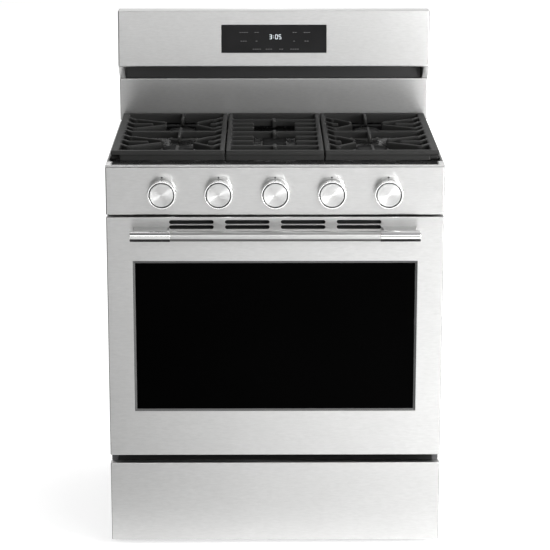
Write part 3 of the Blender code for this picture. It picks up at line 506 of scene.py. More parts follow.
def add_tube(bm, path, radius, closed=False, sides=12, flatten=1.0):
    """A round tube along a path, whose section may be flattened along Y."""
    count = len(path)
    rings = []
    for i, point in enumerate(path):
        ahead = path[(i + 1) % count] if closed or i + 1 < count else point
        behind = path[i - 1] if closed or i else point
        along = (ahead - behind).normalized()
        side = along.cross(Vector((0, 1, 0)))
        side = side.normalized() if side.length > 0.1 else Vector((1, 0, 0))
        up = side.cross(along).normalized()
        rings.append([bm.verts.new(point + radius * (side * math.cos(math.tau * k / sides)
                                                     + up * flatten * math.sin(math.tau * k / sides)))
                      for k in range(sides)])
    bridge(bm, rings, closed, not closed)


def link(name, mesh):
    obj = bpy.data.objects.new(name, mesh)
    bpy.context.scene.collection.objects.link(obj)
    return obj


def mesh_of(bm, name):
    bmesh.ops.recalc_face_normals(bm, faces=bm.faces)
    mesh = bpy.data.meshes.new(name)
    bm.to_mesh(mesh)
    bm.free()
    return mesh


def settle(obj):
    """Applies an object's modifiers to its mesh."""
    graph = bpy.context.evaluated_depsgraph_get()
    settled = bpy.data.meshes.new_from_object(obj.evaluated_get(graph))
    obj.modifiers.clear()
    obj.data = settled


def carve(obj, bm):
    """Cuts away a shape held in a bmesh, and leaves no helper behind."""
    tool = link("tool", mesh_of(bm, "tool"))
    modifier = obj.modifiers.new("carve", "BOOLEAN")
    modifier.operation = "DIFFERENCE"
    modifier.object = tool
    modifier.use_self = True
    settle(obj)
    bpy.data.objects.remove(tool, do_unlink=True)


def soften(obj, width, segments=2, angle=32):
    modifier = obj.modifiers.new("soften", "BEVEL")
    modifier.width = width
    modifier.segments = segments
    modifier.limit_method = "ANGLE"
    modifier.angle_limit = math.radians(angle)
    modifier.miter_outer = "MITER_ARC"
    settle(obj)


def dress(obj, materials, body, nodes=(), smooth=38):
    """Gives a finished mesh its materials, its shading, its body and the nodes that it stands for."""
    indices = [face.material_index for face in obj.data.polygons]
    obj.data.materials.clear()
    for material in materials if isinstance(materials, (list, tuple)) else (materials,):
        obj.data.materials.append(material)
    obj.data.polygons.foreach_set("material_index", indices)
    obj.data.shade_smooth()
    obj.data.set_sharp_from_angle(angle=math.radians(smooth))
    obj.modifiers.new("level", "WEIGHTED_NORMAL").keep_sharp = True
    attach(obj, body)
    if nodes:
        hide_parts(*([nodes] if isinstance(nodes, str) else nodes))
    return obj


def piece(name, bm, materials, body, nodes=(), bevel=0.0, segments=2, smooth=38):
    obj = link(name, mesh_of(bm, name))
    if bevel:
        soften(obj, bevel, segments)
    return dress(obj, materials, body, nodes, smooth)


def keep(node, material, bevel=0.0005):
    """A CAD node that stays: it gets a procedural material and softened edges."""
    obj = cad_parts[node]
    for slot in obj.material_slots:
        slot.material = material
    if bevel:
        weld = obj.modifiers.new("weld", "WELD")
        weld.merge_threshold = 0.00001
        edge = obj.modifiers.new("edge", "BEVEL")
        edge.width = bevel
        edge.segments = 2
        edge.limit_method = "ANGLE"
        edge.angle_limit = math.radians(40)


# Sheet metal


def thicken(obj, wall, even=True):
    """Gives a surface its wall, on the inner side."""
    shell = obj.modifiers.new("wall", "SOLIDIFY")
    shell.thickness = wall
    shell.offset = -1
    shell.use_even_offset = even
    settle(obj)


def open_shell(name, bm, radius, steps=5):
    """A closed form made into sheet: its rear face removed, its edges rounded, and a wall inside."""
    back = max(bm.faces, key=lambda face: face.calc_center_median().y)
    bmesh.ops.delete(bm, geom=[back], context="FACES")
    folds = [edge for edge in bm.edges if not edge.is_boundary]
    bmesh.ops.bevel(bm, geom=folds, offset=radius, segments=steps, profile=0.5, affect="EDGES")
    obj = link(name, mesh_of(bm, name))
    thicken(obj, SHEET)
    return obj


def folded_pan(name, x, depth, z, radius=FOLD, steps=5):
    """A pan of folded sheet: a face towards -Y with rounded edges, four returns, open behind."""
    bm = bmesh.new()
    add_box(bm, x, depth, z)
    return open_shell(name, bm, radius, steps)


def dress_pan(obj, body, node):
    """Dresses a folded pan: its side returns are unbrushed and dark, a darker copy of the steel that paints the
    shade they show from the front.
    """
    for face in obj.data.polygons:
        if abs(face.normal.x) > 0.5 and abs(face.center.x) > HALF - 0.004:
            face.material_index = 1
    dress(obj, [STEEL, STEEL_RETURN_PAINTED_SHADE], body, node)


def door_skin():
    x, _, z = spans("door_outer_panel")
    glass_x, _, glass_z = spans("door_window_glass")
    skin = folded_pan("door_skin", x, depths("door_outer_panel"), z)
    cuts = bmesh.new()
    add_box(cuts, grown(glass_x, 0.0004), (-0.01, 0.01), grown(glass_z, 0.0004))
    for column in range(4):
        for row in VENT_ROWS:
            middle = at((column - 1.5) * VENT_PITCH, -0.01, row)
            add_prism(cuts, slot_outline(middle, VENT_LENGTH, VENT_HEIGHT), BACK * 0.02)
    carve(skin, cuts)
    soften(skin, 0.0004)
    dress_pan(skin, "oven_door", "door_outer_panel")


def vent_baffle():
    """The black channel behind the vent slots, with one slanted louvre to each row; its black also paints the
    shade inside the slots.
    """
    reach = VENT_PITCH * 2
    bm = bmesh.new()
    add_box(bm, (-reach, reach), (0.0135, 0.0145), (0.752, 0.7825))
    for row in VENT_ROWS:
        low = row - VENT_HEIGHT / 2 - 0.001
        blade = [at(-reach, 0.004, low), at(-reach, 0.0048, low), at(-reach, 0.0139, low + 0.007),
                 at(-reach, 0.0131, low + 0.007)]
        add_prism(bm, blade, ACROSS * 2 * reach)
    piece("vent_baffle", bm, BLACK_PAINT_AND_SHADE, "oven_door", bevel=0.0002)


def window():
    """The glass with a chamfered dark frame around it, both just inside the skin's opening."""
    x, _, z = spans("door_window_glass")
    trim = 0.0046
    outer = rounded_corners(upright(x, 0, z), 0.0015)
    inner = rounded_corners(upright(grown(x, -trim), 0, grown(z, -trim)), 0.0015)
    levels = ((outer, 0.0040), (outer, 0.0004), (outer, 0.0002), (inner, 0.0022), (inner, 0.0040))
    bm = bmesh.new()
    bridge(bm, rings_of(bm, [[point + BACK * depth for point in line] for line, depth in levels]), True)
    piece("window_frame", bm, TRIM_PAINT, "oven_door", smooth=20)
    bm = bmesh.new()
    add_box(bm, grown(x, -trim), (0.0024, 0.0048), grown(z, -trim))
    piece("window_pane", bm, GLASS, "oven_door", "door_window_glass", 0.0007, 3)


def inner_door():
    """The enamelled inner door, with a raised bead around its window."""
    keep("door_inner_panel", OVEN_ENAMEL, 0.0006)
    x, _, z = spans("door_inner_panel")
    far = depths("door_inner_panel")[1]
    glass_x, _, glass_z = spans("door_inner_glass")
    lip = 0.012
    levels = ((0, 0.0002), (0, 0.0020), (0.003, 0.0028), (0.009, 0.0028), (0.012, 0.0020), (0.012, 0.0002))
    lines = []
    for inset, proud in levels:
        edge = upright(grown(glass_x, lip - inset), far + proud, grown(glass_z, lip - inset))
        lines.append(rounded_corners(edge, 0.010 - inset * 0.5))
    bm = bmesh.new()
    bridge(bm, rings_of(bm, lines), True)
    piece("inner_window_bead", bm, OVEN_ENAMEL, "oven_door")
    bm = bmesh.new()
    add_box(bm, glass_x, depths("door_inner_glass"), glass_z)
    piece("inner_window_pane", bm, INNER_GLASS, "oven_door", "door_inner_glass", 0.0006, 3)
    heights = (z[0] + 0.075, z[1] - 0.020, sum(z) / 2)
    places = [at(side * (x[1] - 0.014), far, height) for side in (-1, 1) for height in heights]
    screws("inner_door_screws", [(place, BACK) for place in places], 0.0038, ZINC, "oven_door")


def add_screw(bm, where, axis, radius):
    """A domed head on a thin washer."""
    profile = [(0, 0), (radius * 1.35, 0), (radius * 1.35, 0.0006), (radius, 0.0008)]
    profile += [(radius * math.cos(a), 0.0008 + radius * 0.5 * math.sin(a)) for a in (0.35, 0.8, 1.2)]
    profile.append((0, radius * 0.5 + 0.0008))
    add_turned(bm, profile, where, axis, 16)


def screws(name, places, radius, material, body):
    """One piece with all the screws of a cover; places holds the point and the axis of each."""
    bm = bmesh.new()
    for where, axis in places:
        add_screw(bm, where, axis, radius)
    piece(name, bm, material, body, smooth=30)


def handle():
    """A brushed bar between two polished sleeves, on two stand-offs."""
    reach = spans("handle_bar")[0][1]
    low, high = spans("handle_bar")[2]
    middle = centre("handle_bar")
    radius = (high - low) / 2
    bar = radius - 0.0009
    half = SLEEVE_START + 0.004
    bm = bmesh.new()
    add_turned(bm, [(0, -half), (bar, -half), (bar, half), (0, half)], middle, ACROSS, 96)
    piece("handle_centre_bar", bm, STEEL_BAR, "oven_door", "handle_bar")
    length = reach - SLEEVE_START
    profile = [(radius - 0.0011, 0), (radius - 0.0004, 0), (radius, 0.0006)]
    profile += arc(radius - 0.0016, length - 0.0016, 0.0016, 0, 80)
    profile += [(radius * 0.5, length - 0.0001), (0, length)]
    for side, name in SIDES:
        bm = bmesh.new()
        add_turned(bm, profile, middle + ACROSS * side * SLEEVE_START, ACROSS * side, 96)
        piece(f"handle_sleeve_{name}", bm, SLEEVE, "oven_door", smooth=50)
        handle_mount(side, name, middle, radius)


def handle_mount(side, name, middle, radius):
    """A stand-off whose sides sweep outwards where it meets the door."""
    x, _, z = spans(f"handle_mount_{name}")
    near, far = depths(f"handle_mount_{name}")
    waist, steps = 0.005, 8
    start = near - 0.006
    sweep = [(waist * math.cos(math.pi / 2 * step / steps), start + (far - start) * step / steps)
             for step in range(steps + 1)]
    plan = [(x[0] + inset, depth) for inset, depth in sweep]
    plan += [(x[1] - inset, depth) for inset, depth in sweep[::-1]]
    bm = bmesh.new()
    add_prism(bm, [at(across, depth, z[0]) for across, depth in plan], UP * (z[1] - z[0]))
    obj = link(f"handle_stand_off_{name}", mesh_of(bm, "stand_off"))
    bore = bmesh.new()
    add_rod(bore, middle + ACROSS * side * 0.2, middle + ACROSS * side * 0.4, radius - 0.0001, 64)
    carve(obj, bore)
    soften(obj, 0.0012, 3, 40)
    dress(obj, STAND_OFF, "oven_door", f"handle_mount_{name}")


def drawer():
    x, _, z = spans("drawer_front")
    skin = folded_pan("drawer_skin", x, depths("drawer_front"), z)
    dress_pan(skin, "storage_drawer", "drawer_front")
    keep("drawer_box", SIDE_PAINT, 0.0005)
    box_z = spans("drawer_box")[2]
    inside = depths("drawer_box")[0] + SHEET
    places = [at(side * away, inside, height) for side in (-1, 1)
              for height in (box_z[0] + 0.020, box_z[1] - 0.025) for away in (0.30, 0.15)]
    screws("drawer_screws", [(place, BACK) for place in places], 0.0035, ZINC, "storage_drawer")
    for _, name in SIDES:
        keep(f"drawer_rail_{name}", ZINC, 0.0004)


def fascia():
    """The control panel, folded back at its top with a rounder edge, and the stem holes."""
    x, _, z = spans("control_panel")
    panel = folded_pan("fascia", x, depths("control_panel"), z, 0.0032, 6)
    holes = bmesh.new()
    for name in BURNERS:
        stem = centre(f"valve_stem_{name}")
        add_rod(holes, at(stem.x, -0.01, stem.z), at(stem.x, 0.01, stem.z), 0.005, 32)
    carve(panel, holes)
    dress_pan(panel, "range_body", "control_panel")
    bm = bmesh.new()
    for name in BURNERS:
        stem = centre(f"valve_stem_{name}")
        profile = [(0, -0.0004), (0.0021, -0.0004), (0.0021, 0.00015), (0, 0.00015)]
        add_turned(bm, profile, at(stem.x, 0, stem.z + MARK_UP), OUT, 24)
    piece("off_marks", bm, TRIM_PAINT, "range_body")


def knobs():
    for name in BURNERS:
        low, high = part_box(f"knob_{name}")
        middle = centre(f"knob_{name}")
        where = at(middle.x, 0, middle.z)
        radius = high.x - middle.x
        rear, proud = FRONT - high.y, FRONT - low.y
        knob_skirt(name, where, radius, rear, proud)
        knob_face(name, where, proud)
        keep(f"valve_stem_{name}", BRASS, 0)


def knob_skirt(name, where, radius, rear, proud):
    """The knob's body with its bore, its raised rim and the dark floor behind its face, whose black is painted
    shade in the groove.
    """
    top = proud - 0.0002
    edge = radius - 0.0022
    floor = proud - GROOVE_DEEP
    profile = [(KNOB_BORE, 0.0165), (KNOB_BORE, rear), (edge, rear), (edge + 0.0006, rear + 0.0005)]
    profile += [(radius - 0.0004, rear + 0.006), (radius, rear + 0.010)]
    profile += arc(radius - 0.0013, top - 0.0013, 0.0013, 0, 90, 6)
    profile += arc(KNOB_GROOVE[1] + 0.0006, top - 0.0006, 0.0006, 90, 180, 4)
    rim = len(profile) - 1
    profile += [(KNOB_GROOVE[1], floor), (0, floor)]
    bm = bmesh.new()
    add_turned(bm, profile, where, OUT, 96, bands=[0] * rim + [1, 1])
    piece(f"knob_skirt_{name}", bm, [RIM, BLACK_PAINT_AND_SHADE], f"{name}_knob", f"knob_{name}")


def knob_face(name, where, proud):
    """A spun disc, slightly dished, inside the rim."""
    top = proud - 0.0002
    floor = proud - GROOVE_DEEP + 0.0002
    edge, dish = KNOB_GROOVE[0], 0.0006
    profile = [(0, floor), (edge - 0.0004, floor), (edge, floor + 0.0003)]
    profile += arc(edge - 0.0007, top - 0.0007, 0.0007, 0, 80, 5)
    for share in (0.9, 0.75, 0.6, 0.45, 0.3, 0.15, 0):
        profile.append((edge * share, top - dish * (1 - share ** 2)))
    bm = bmesh.new()
    add_turned(bm, profile, where, OUT, 96)
    piece(f"knob_face_{name}", bm, SPUN, f"{name}_knob")


# Cooktop


def cooktop():
    """The steel surround with its thin side trims and front corners, and the black pressing inside it."""
    x, _, z = spans("cooktop_panel")
    rear = depths("cooktop_panel")[1]
    rim = z[1]
    lip_z = spans("control_panel")[2][1] + 0.0003
    bend = 0.0024
    profile = [at(x[0], 0, lip_z), at(x[0], 0, rim - bend)]
    profile += [at(x[0], bend - bend * math.cos(a), rim - bend + bend * math.sin(a)) for a in ROLL]
    profile += [at(x[0], LIP + 0.001, rim), at(x[0], LIP + 0.001, rim - SHEET), at(x[0], 0.0026, rim - SHEET),
                at(x[0], 0.0015, rim - 0.0028), at(x[0], 0.0015, lip_z)]
    bm = bmesh.new()
    add_prism(bm, profile, ACROSS * (x[1] - x[0]))
    piece("cooktop_front_lip", bm, STEEL, "range_body")
    for side, name in SIDES:
        side_trim(side, name, z[0], rim, rear, lip_z)
        bm = bmesh.new()
        across = sorted((side * (HALF - CORNER[0]), side * (HALF - 0.0006)))
        add_box(bm, across, (LIP, CORNER[1]), (rim - 0.0012, rim + 0.0003))
        piece(f"cooktop_corner_{name}", bm, STEEL, "range_body", bevel=0.0006)
    enamel_top(rear, rim)


def side_trim(side, name, low, rim, rear, lip_z):
    """The steel edge along one side, cut away where the control panel's end covers it."""
    bend = 0.0016
    section = [(HALF, low), (HALF, rim - bend)]
    section += [(HALF - bend + bend * math.cos(a), rim - bend + bend * math.sin(a)) for a in ROLL]
    section += [(HALF - TRIM, rim), (HALF - TRIM, rim - 0.0030)]
    section += [(HALF - SHEET, rim - 0.0032), (HALF - SHEET, low)]
    bottom = spans(f"side_panel_{name}")[2][1] + 0.0003
    start = LIP + 0.0012
    bm = bmesh.new()
    add_prism(bm, [at(side * across, start, max(z, bottom)) for across, z in section], BACK * (rear - start))
    obj = link(f"cooktop_side_trim_{name}", mesh_of(bm, "trim"))
    covered = bmesh.new()
    across = sorted((side * (HALF - 0.03), side * (HALF + 0.01)))
    add_box(covered, across, (-0.01, PANEL_BACK + 0.0003), (0.8, lip_z))
    carve(obj, covered)
    dress(obj, STEEL, "range_body")


def enamel_top(rear, rim):
    """A pressed tray: a narrow flange around a well with rolled edges."""
    near, far = depths("grate_left")
    top = rim - 0.0006
    edge = HALF - TRIM - 0.0003
    flange = level((-edge, edge), (LIP + 0.0013, rear), 0)
    lines = [(flange, top - 0.0008, 0.0005), (flange, top, 0.0005)]
    mouth = (near - 0.0085, far + 0.0075)
    steps = ((0, top), (0.0012, top - 0.0004), (0.0030, top - 0.0030), (0.0046, WELL_Z + 0.0030),
             (0.0070, WELL_Z + 0.0006), (0.0100, WELL_Z))
    for inset, height in steps:
        ring = level(grown((-WELL_REACH, WELL_REACH), -inset), grown(mouth, -inset), 0)
        lines.append((ring, height, 0.014 - inset * 0.4))
    bm = bmesh.new()
    rings = rings_of(bm, [[point + UP * height for point in rounded_corners(corners, radius, 6)]
                          for corners, height, radius in lines])
    bridge(bm, rings)
    bm.faces.new(rings[-1])
    obj = link("cooktop_enamel", mesh_of(bm, "cooktop_enamel"))
    thicken(obj, 0.0008, False)
    dress(obj, TOP_ENAMEL, "range_body", "cooktop_panel")


def burners():
    for name in BURNERS:
        low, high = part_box(f"burner_cap_{name}")
        middle = (low + high) / 2
        radius = (high.x - low.x) / 2
        stretch = (high.y - low.y) / 2 - radius
        burner_head(name, middle, radius, stretch)
        profile = [(0, low.z), (radius - 0.0006, low.z), (radius, low.z + 0.0008), (radius, high.z - 0.0042)]
        profile += arc(radius - 0.0030, high.z - 0.0042, 0.0030, 10, 78)
        for share, drop in ((0.80, 0.0010), (0.74, 0.0006), (0.70, 0.0003), (0.35, 0), (0, 0)):
            profile.append((radius * share, high.z - drop))
        bm = bmesh.new()
        add_turned(bm, profile, Vector((middle.x, middle.y, 0)), UP, 96, None, stretch)
        piece(f"burner_lid_{name}", bm, CAP_ENAMEL, "range_body", f"burner_cap_{name}")
        igniter(name, middle, radius, stretch)


def burner_head(name, middle, radius, stretch):
    """The cast head under a cap, with a ring of slits for the flames."""
    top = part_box(f"burner_base_{name}")[1].z
    ports = 40
    foot = WELL_Z + 0.0003

    def slit(turn, index):
        return 0.955 if index in (3, 4) and (turn * ports) % 1 < 0.5 else 1.0

    profile = [(radius * 0.5, foot - 0.004), (radius * 1.10, foot), (radius * 1.08, foot + 0.0026)]
    profile += [(radius * 0.90, z) for z in (foot + 0.0036, top - 0.0012, top)] + [(0, top)]
    bm = bmesh.new()
    add_turned(bm, profile, Vector((middle.x, middle.y, 0)), UP, ports * 4, slit, stretch)
    base = f"burner_base_{name}"
    piece(f"burner_head_{name}", bm, CAST_ALUMINIUM, "range_body", base, smooth=30)


def igniter(name, middle, radius, stretch):
    """The ceramic electrode beside a burner head, with its steel tip under the cap's edge."""
    side = -1 if middle.x > 0.01 else 1
    where = Vector((middle.x + side * radius * 1.16, middle.y - stretch, WELL_Z))
    profile = [(0, 0.0002), (0.0034, 0.0002), (0.0034, 0.004), (0.0024, 0.0045), (0.0024, 0.0095),
               (0.0012, 0.0102), (0, 0.0102)]
    tip = [where + UP * 0.010, where + UP * 0.0115, where + UP * 0.0122 - ACROSS * side * 0.003]
    bm = bmesh.new()
    add_turned(bm, profile, where, UP, 20)
    add_tube(bm, tip, 0.0006)
    piece(f"igniter_{name}", bm, CERAMIC, "range_body")


# Grates: bars and fingers that overlap, fused and softened as one casting


def add_rooted(bm, rail, tip, way, width=0.0078, through=None):
    """A finger whose root sweeps back to its rail; way is the direction in from the rail."""
    bend = (rail + way * ROOT[0], (through or tip)[1])
    add_finger(bm, (rail, bend[1] + ROOT[1]), (bend[0] + way * 0.002, bend[1] - 0.002), 0.0070)
    if through:
        add_finger(bm, bend, through, width)
        bend = through
    add_finger(bm, bend, tip, width)


def add_finger(bm, root, tip, width=0.0078):
    """A straight finger in plan, from its root to its chamfered tip."""
    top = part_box("grate_left")[1].z + SWELL
    along = Vector(tip) - Vector(root)
    length = along.length
    along.normalize()
    across = Vector((-along.y, along.x)) * width / 2
    side = [(0, FINGER_LOW), (0, top), (length - 0.0025, top), (length, top - 0.003)]
    side += [(length, FINGER_LOW + 0.0035), (length - 0.004, FINGER_LOW)]
    chamfer = 0.0016
    flat = 1 - 2 * chamfer / width
    rows = []
    for share, drop in ((-1, chamfer), (-flat, 0), (flat, 0), (1, chamfer)):
        row = []
        for s, z in side:
            lowered = z - drop if z > FINGER_LOW + 0.006 else z
            point = Vector(root) + along * s + across * share
            row.append(bm.verts.new(at(point.x, point.y, lowered)))
        rows.append(row)
    bridge(bm, rows, caps=True)


def add_rail(bm, x, depth, z, draft=0.0012):
    """A rail whose sides lean in towards the top."""
    corners = add_box(bm, x, depth, z)
    middle_x, middle_y = sum(x) / 2, FRONT + sum(depth) / 2
    for corner in corners:
        if abs(corner.co.z - z[1]) < 1e-6:
            corner.co.x += math.copysign(draft, middle_x - corner.co.x)
            corner.co.y += math.copysign(draft, middle_y - corner.co.y)


def add_grate_frame(bm, x, outer=0):
    """Front, rear and side rails with legs. outer is the side whose rail is wide and notched in front."""
    near, far = depths("grate_left")
    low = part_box("grate_left")[0].z
    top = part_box("grate_left")[1].z + SWELL
    wide, narrow, end = 0.0195, 0.0125, 0.0140
    notch_x, notch_z = 0.020, RAIL_LOW + 0.0135
    for edge, side in ((x[0], -1), (x[1], 1)):
        width = wide if side == outer else narrow
        span = sorted((edge, edge - side * width))
        add_rail(bm, span, (near + (notch_x if side == outer else 0), far), (RAIL_LOW, RAIL_TOP))
        add_rail(bm, span, (near, far), (notch_z, RAIL_TOP))
        for depth in (near + 0.0245 if side == outer else near + 0.002, far - 0.014):
            inner = sorted((edge - side * 0.002, edge - side * 0.012))
            add_rail(bm, inner, (depth, depth + 0.011), (low + 0.0002, RAIL_LOW + 0.004), -0.0006)
    lower = [x[0] + (notch_x if outer < 0 else 0), x[1] - (notch_x if outer > 0 else 0)]
    add_rail(bm, lower, (near + 0.0004, near + end - 0.0004), (RAIL_LOW, top - 0.0005))
    add_rail(bm, x, (near, near + end), (notch_z, top))
    add_rail(bm, x, (far - end, far), (RAIL_LOW - 0.0003, top))


def fuse(name, bm, node, body):
    obj = link(name, mesh_of(bm, name))
    remesh = obj.modifiers.new("fuse", "REMESH")
    remesh.mode = "VOXEL"
    remesh.voxel_size = VOXEL
    smooth = obj.modifiers.new("smooth", "SMOOTH")
    smooth.factor = 0.5
    smooth.iterations = 2
    thin = obj.modifiers.new("thin", "DECIMATE")
    thin.ratio = 0.30
    settle(obj)
    dress(obj, IRON, body, node, 80)


def side_grate(side, name):
    node = f"grate_{name}"
    x = spans(node)[0]
    near, far = depths(node)
    bm = bmesh.new()
    add_grate_frame(bm, x, side)
    mid = (near + far) / 2
    middle_x = sum(x) / 2
    rails = {way: (x[0] if way < 0 else x[1]) - way * (0.017 if way == side else 0.010) for way in (-1, 1)}
    for way, rail in rails.items():
        add_rooted(bm, rail, (middle_x, mid), -way, 0.0105)
        for place in ("front", "rear"):
            cap = centre(f"burner_cap_{place}_{name}")
            depth = cap.y - FRONT
            for slope in (-1, 1):
                start = (rail - way * (ROOT[0] + 0.008), depth + slope * 0.058)
                add_rooted(bm, rail, (cap.x + way * 0.037, depth + slope * 0.015), -way, through=start)
            add_rooted(bm, rail, (cap.x + way * 0.068, depth), -way)
    for place, ends in (("front", (near + 0.006, mid)), ("rear", (mid, far - 0.006))):
        cap = centre(f"burner_cap_{place}_{name}")
        for slope, end in zip((-1, 1), ends):
            add_finger(bm, (cap.x, end), (cap.x, cap.y - FRONT + slope * 0.047), 0.0070)
    fuse(f"cast_grate_{name}", bm, node, f"{name}_grate")


def center_grate():
    node = "grate_center"
    rail = spans(node)[0][1] - 0.010
    bm = bmesh.new()
    add_grate_frame(bm, spans(node)[0])
    for depth in (0.121, 0.293, 0.453):
        for way in (-1, 1):
            add_finger(bm, (way * rail, depth), (0, depth), 0.0105)
        add_finger(bm, (0, depth - 0.022), (0, depth + 0.022), 0.0085)
    for depth in (0.178, 0.236, 0.350, 0.405):
        for way in (-1, 1):
            add_finger(bm, (way * rail, depth), (way * 0.048, depth), 0.0085)
    fuse("cast_grate_center", bm, node, "middle_grate")


# Backguard


def backguard():
    """The upright sheet, the leaning ends of the vent slot, the grille behind the slot and the console."""
    x, _, z = spans("backguard_panel")
    near, far = depths("cooktop_panel")[1] + SHEET, depths("backguard_panel")[1]
    slot_top = spans("backguard_console")[2][0]
    slot_low = slot_top - 0.035
    sheet = folded_pan("backguard_sheet", x, (near, far), (z[0], slot_low), 0.0025)
    dress_pan(sheet, "range_body", "backguard_panel")
    top, low = slot_top - 0.0003, slot_low + 0.0003
    overhang = depths("backguard_console")[0] + 0.002
    for side, name in SIDES:
        start, end = sorted((side * VENT_REACH, side * HALF))
        outline = [at(start, near, low), at(start, overhang, top), at(start, far, top), at(start, far, low)]
        bm = bmesh.new()
        add_prism(bm, outline, ACROSS * (end - start))
        piece(f"vent_end_{name}", bm, STEEL, "range_body", bevel=0.0012, segments=3)
    bm = bmesh.new()
    # A black plate behind the slot: painted shade for the dark inside of the vent.
    add_box(bm, (-VENT_REACH, VENT_REACH), (far + 0.0045, far + 0.0053), (slot_low - 0.02, slot_low + 0.034))
    piece("vent_grille", bm, BLACK_PAINT_AND_SHADE, "range_body", bevel=0.0002)
    console()


def console():
    """The leaning control box with rounded edges, and the display's opening."""
    x, _, z = spans("backguard_console")
    near, far = depths("backguard_console")
    bm = bmesh.new()
    outline = [at(x[0], near, z[0]), at(x[0], CONSOLE_TOP, z[1]), at(x[0], far, z[1]), at(x[0], far, z[0])]
    add_prism(bm, outline, ACROSS * (x[1] - x[0]))
    obj = open_shell("console_shell", bm, 0.0030)
    place = display_place()
    size = Matrix.Diagonal((DISPLAY_SIZE[0] + 0.0008, 0.02, DISPLAY_SIZE[1] + 0.0008, 1))
    opening = bmesh.new()
    bmesh.ops.create_cube(opening, size=1, matrix=place @ size)
    through = [edge for edge in opening.edges
               if abs((edge.verts[0].co - edge.verts[1].co).normalized().y) > 0.9]
    bmesh.ops.bevel(opening, geom=through, offset=0.0015, segments=3, profile=0.5, affect="EDGES")
    carve(obj, opening)
    soften(obj, 0.0003)
    dress_pan(obj, "range_body", "backguard_console")
    display(place)


def display_place():
    """The frame of the display: X across, -Y out of the leaning face, Z up along it."""
    z = spans("backguard_console")[2]
    near = depths("backguard_console")[0]
    lean = math.atan2(CONSOLE_TOP - near, z[1] - z[0])
    along = Vector((0, math.sin(lean), math.cos(lean)))
    return Matrix.Translation(at(0, near, z[0]) + along * DISPLAY_ALONG) @ Matrix.Rotation(-lean, 4, "X")


def add_mark(bm, place, x, z, width, height):
    """A thin printed mark on the display."""
    size = Matrix.Translation((x, -0.00022, z)) @ Matrix.Diagonal((width, 0.0001, height, 1))
    bmesh.ops.create_cube(bm, size=1, matrix=place @ size)


def add_digit(bm, place, x, z, digit, height):
    """A seven-segment digit: each bar's place, and whether it lies flat."""
    width, stroke = height * 0.52, height * 0.11
    side, up = width / 2, height / 4
    bars = {"a": (0, height / 2, True), "g": (0, 0, True), "d": (0, -height / 2, True)}
    bars |= {"b": (side, up, False), "c": (side, -up, False), "e": (-side, -up, False), "f": (-side, up, False)}
    for label in SEGMENTS[digit]:
        right, above, flat = bars[label]
        size = (width * 0.9, stroke) if flat else (stroke, height / 2 * 0.9)
        add_mark(bm, place, x + right, z + above, *size)


def display(place):
    """The dark glass with a lit clock and plain touch marks."""
    size = Matrix.Translation((0, 0.0013, 0)) @ Matrix.Diagonal((DISPLAY_SIZE[0], 0.003, DISPLAY_SIZE[1], 1))
    bm = bmesh.new()
    bmesh.ops.create_cube(bm, size=1, matrix=place @ size)
    piece("display_pane", bm, DISPLAY, "range_body", "display_glass", 0.0006, 3)
    bm = bmesh.new()
    for digit, x in (("3", -0.0080), ("0", 0.0062), ("5", 0.0148)):
        add_digit(bm, place, x, CLOCK_UP, digit, 0.0100)
    for up in (-0.0022, 0.0022):
        add_mark(bm, place, -0.0010, CLOCK_UP + up, 0.0012, 0.0012)
    piece("clock_digits", bm, LIT, "range_body", smooth=20)
    bm = bmesh.new()
    for z, marks in TOUCH_ROWS:
        for x, width in marks:
            for step in range(max(1, round(width / TOUCH_STEP))):
                add_mark(bm, place, x - width / 2 + 0.0028 + step * TOUCH_STEP, z, 0.0040, 0.0012)
    piece("touch_marks", bm, MARKS, "range_body", smooth=20)


# Oven


def oven():
    for node in ("oven_liner", "oven_floor_plate"):
        keep(node, OVEN_ENAMEL, 0.0006)
    # Black paint rather than galvanised steel: painted shade for the dark gap between door and drawer.
    keep("front_frame", BLACK_PAINT_AND_SHADE, 0.0004)
    for level in ("lower", "upper"):
        rack(f"oven_rack_{level}", f"{level}_rack")
    gasket()
    broil()
    bake()
    lamp_and_probe()


def rack(node, body):
    """A wire rack: a frame rod, fine wires from front to back and four bearers under them."""
    x, _, z = spans(node)
    near, far = depths(node)
    rod, wire = 0.0025, 0.0014
    height = z[0] + rod
    bearer = 0.0016
    (left, right), (front, rear) = grown(x, -rod), grown((near, far), -rod)
    bm = bmesh.new()
    add_tube(bm, rounded_corners(level((left, right), (front, rear), height), 0.012, 6), rod, True)
    for share in (0.08, 1 / 3, 2 / 3, 0.92):
        depth = near + (far - near) * share
        add_rod(bm, at(left, depth, z[0] + bearer), at(right, depth, z[0] + bearer), bearer, 10)
    count = 23
    for k in range(1, count):
        across = left + k * (right - left) / count
        add_rod(bm, at(across, front, z[1] - wire), at(across, rear, z[1] - wire), wire, 10)
    piece(f"wire_{node}", bm, RACK_CHROME, body, node)


def gasket():
    """A braided tube around the oven's mouth, pressed flatter from front to back."""
    x, _, z = spans("door_gasket")
    near, far = depths("door_gasket")
    radius = 0.0043
    corners = upright(grown(x, -radius), (near + far) / 2, (z[0] + 0.0032, z[1] - radius))
    bm = bmesh.new()
    add_tube(bm, rounded_corners(corners, 0.020, 8), radius, True, 16, (far - near) / 2 / radius)
    piece("woven_gasket", bm, BRAID, "range_body", "door_gasket")


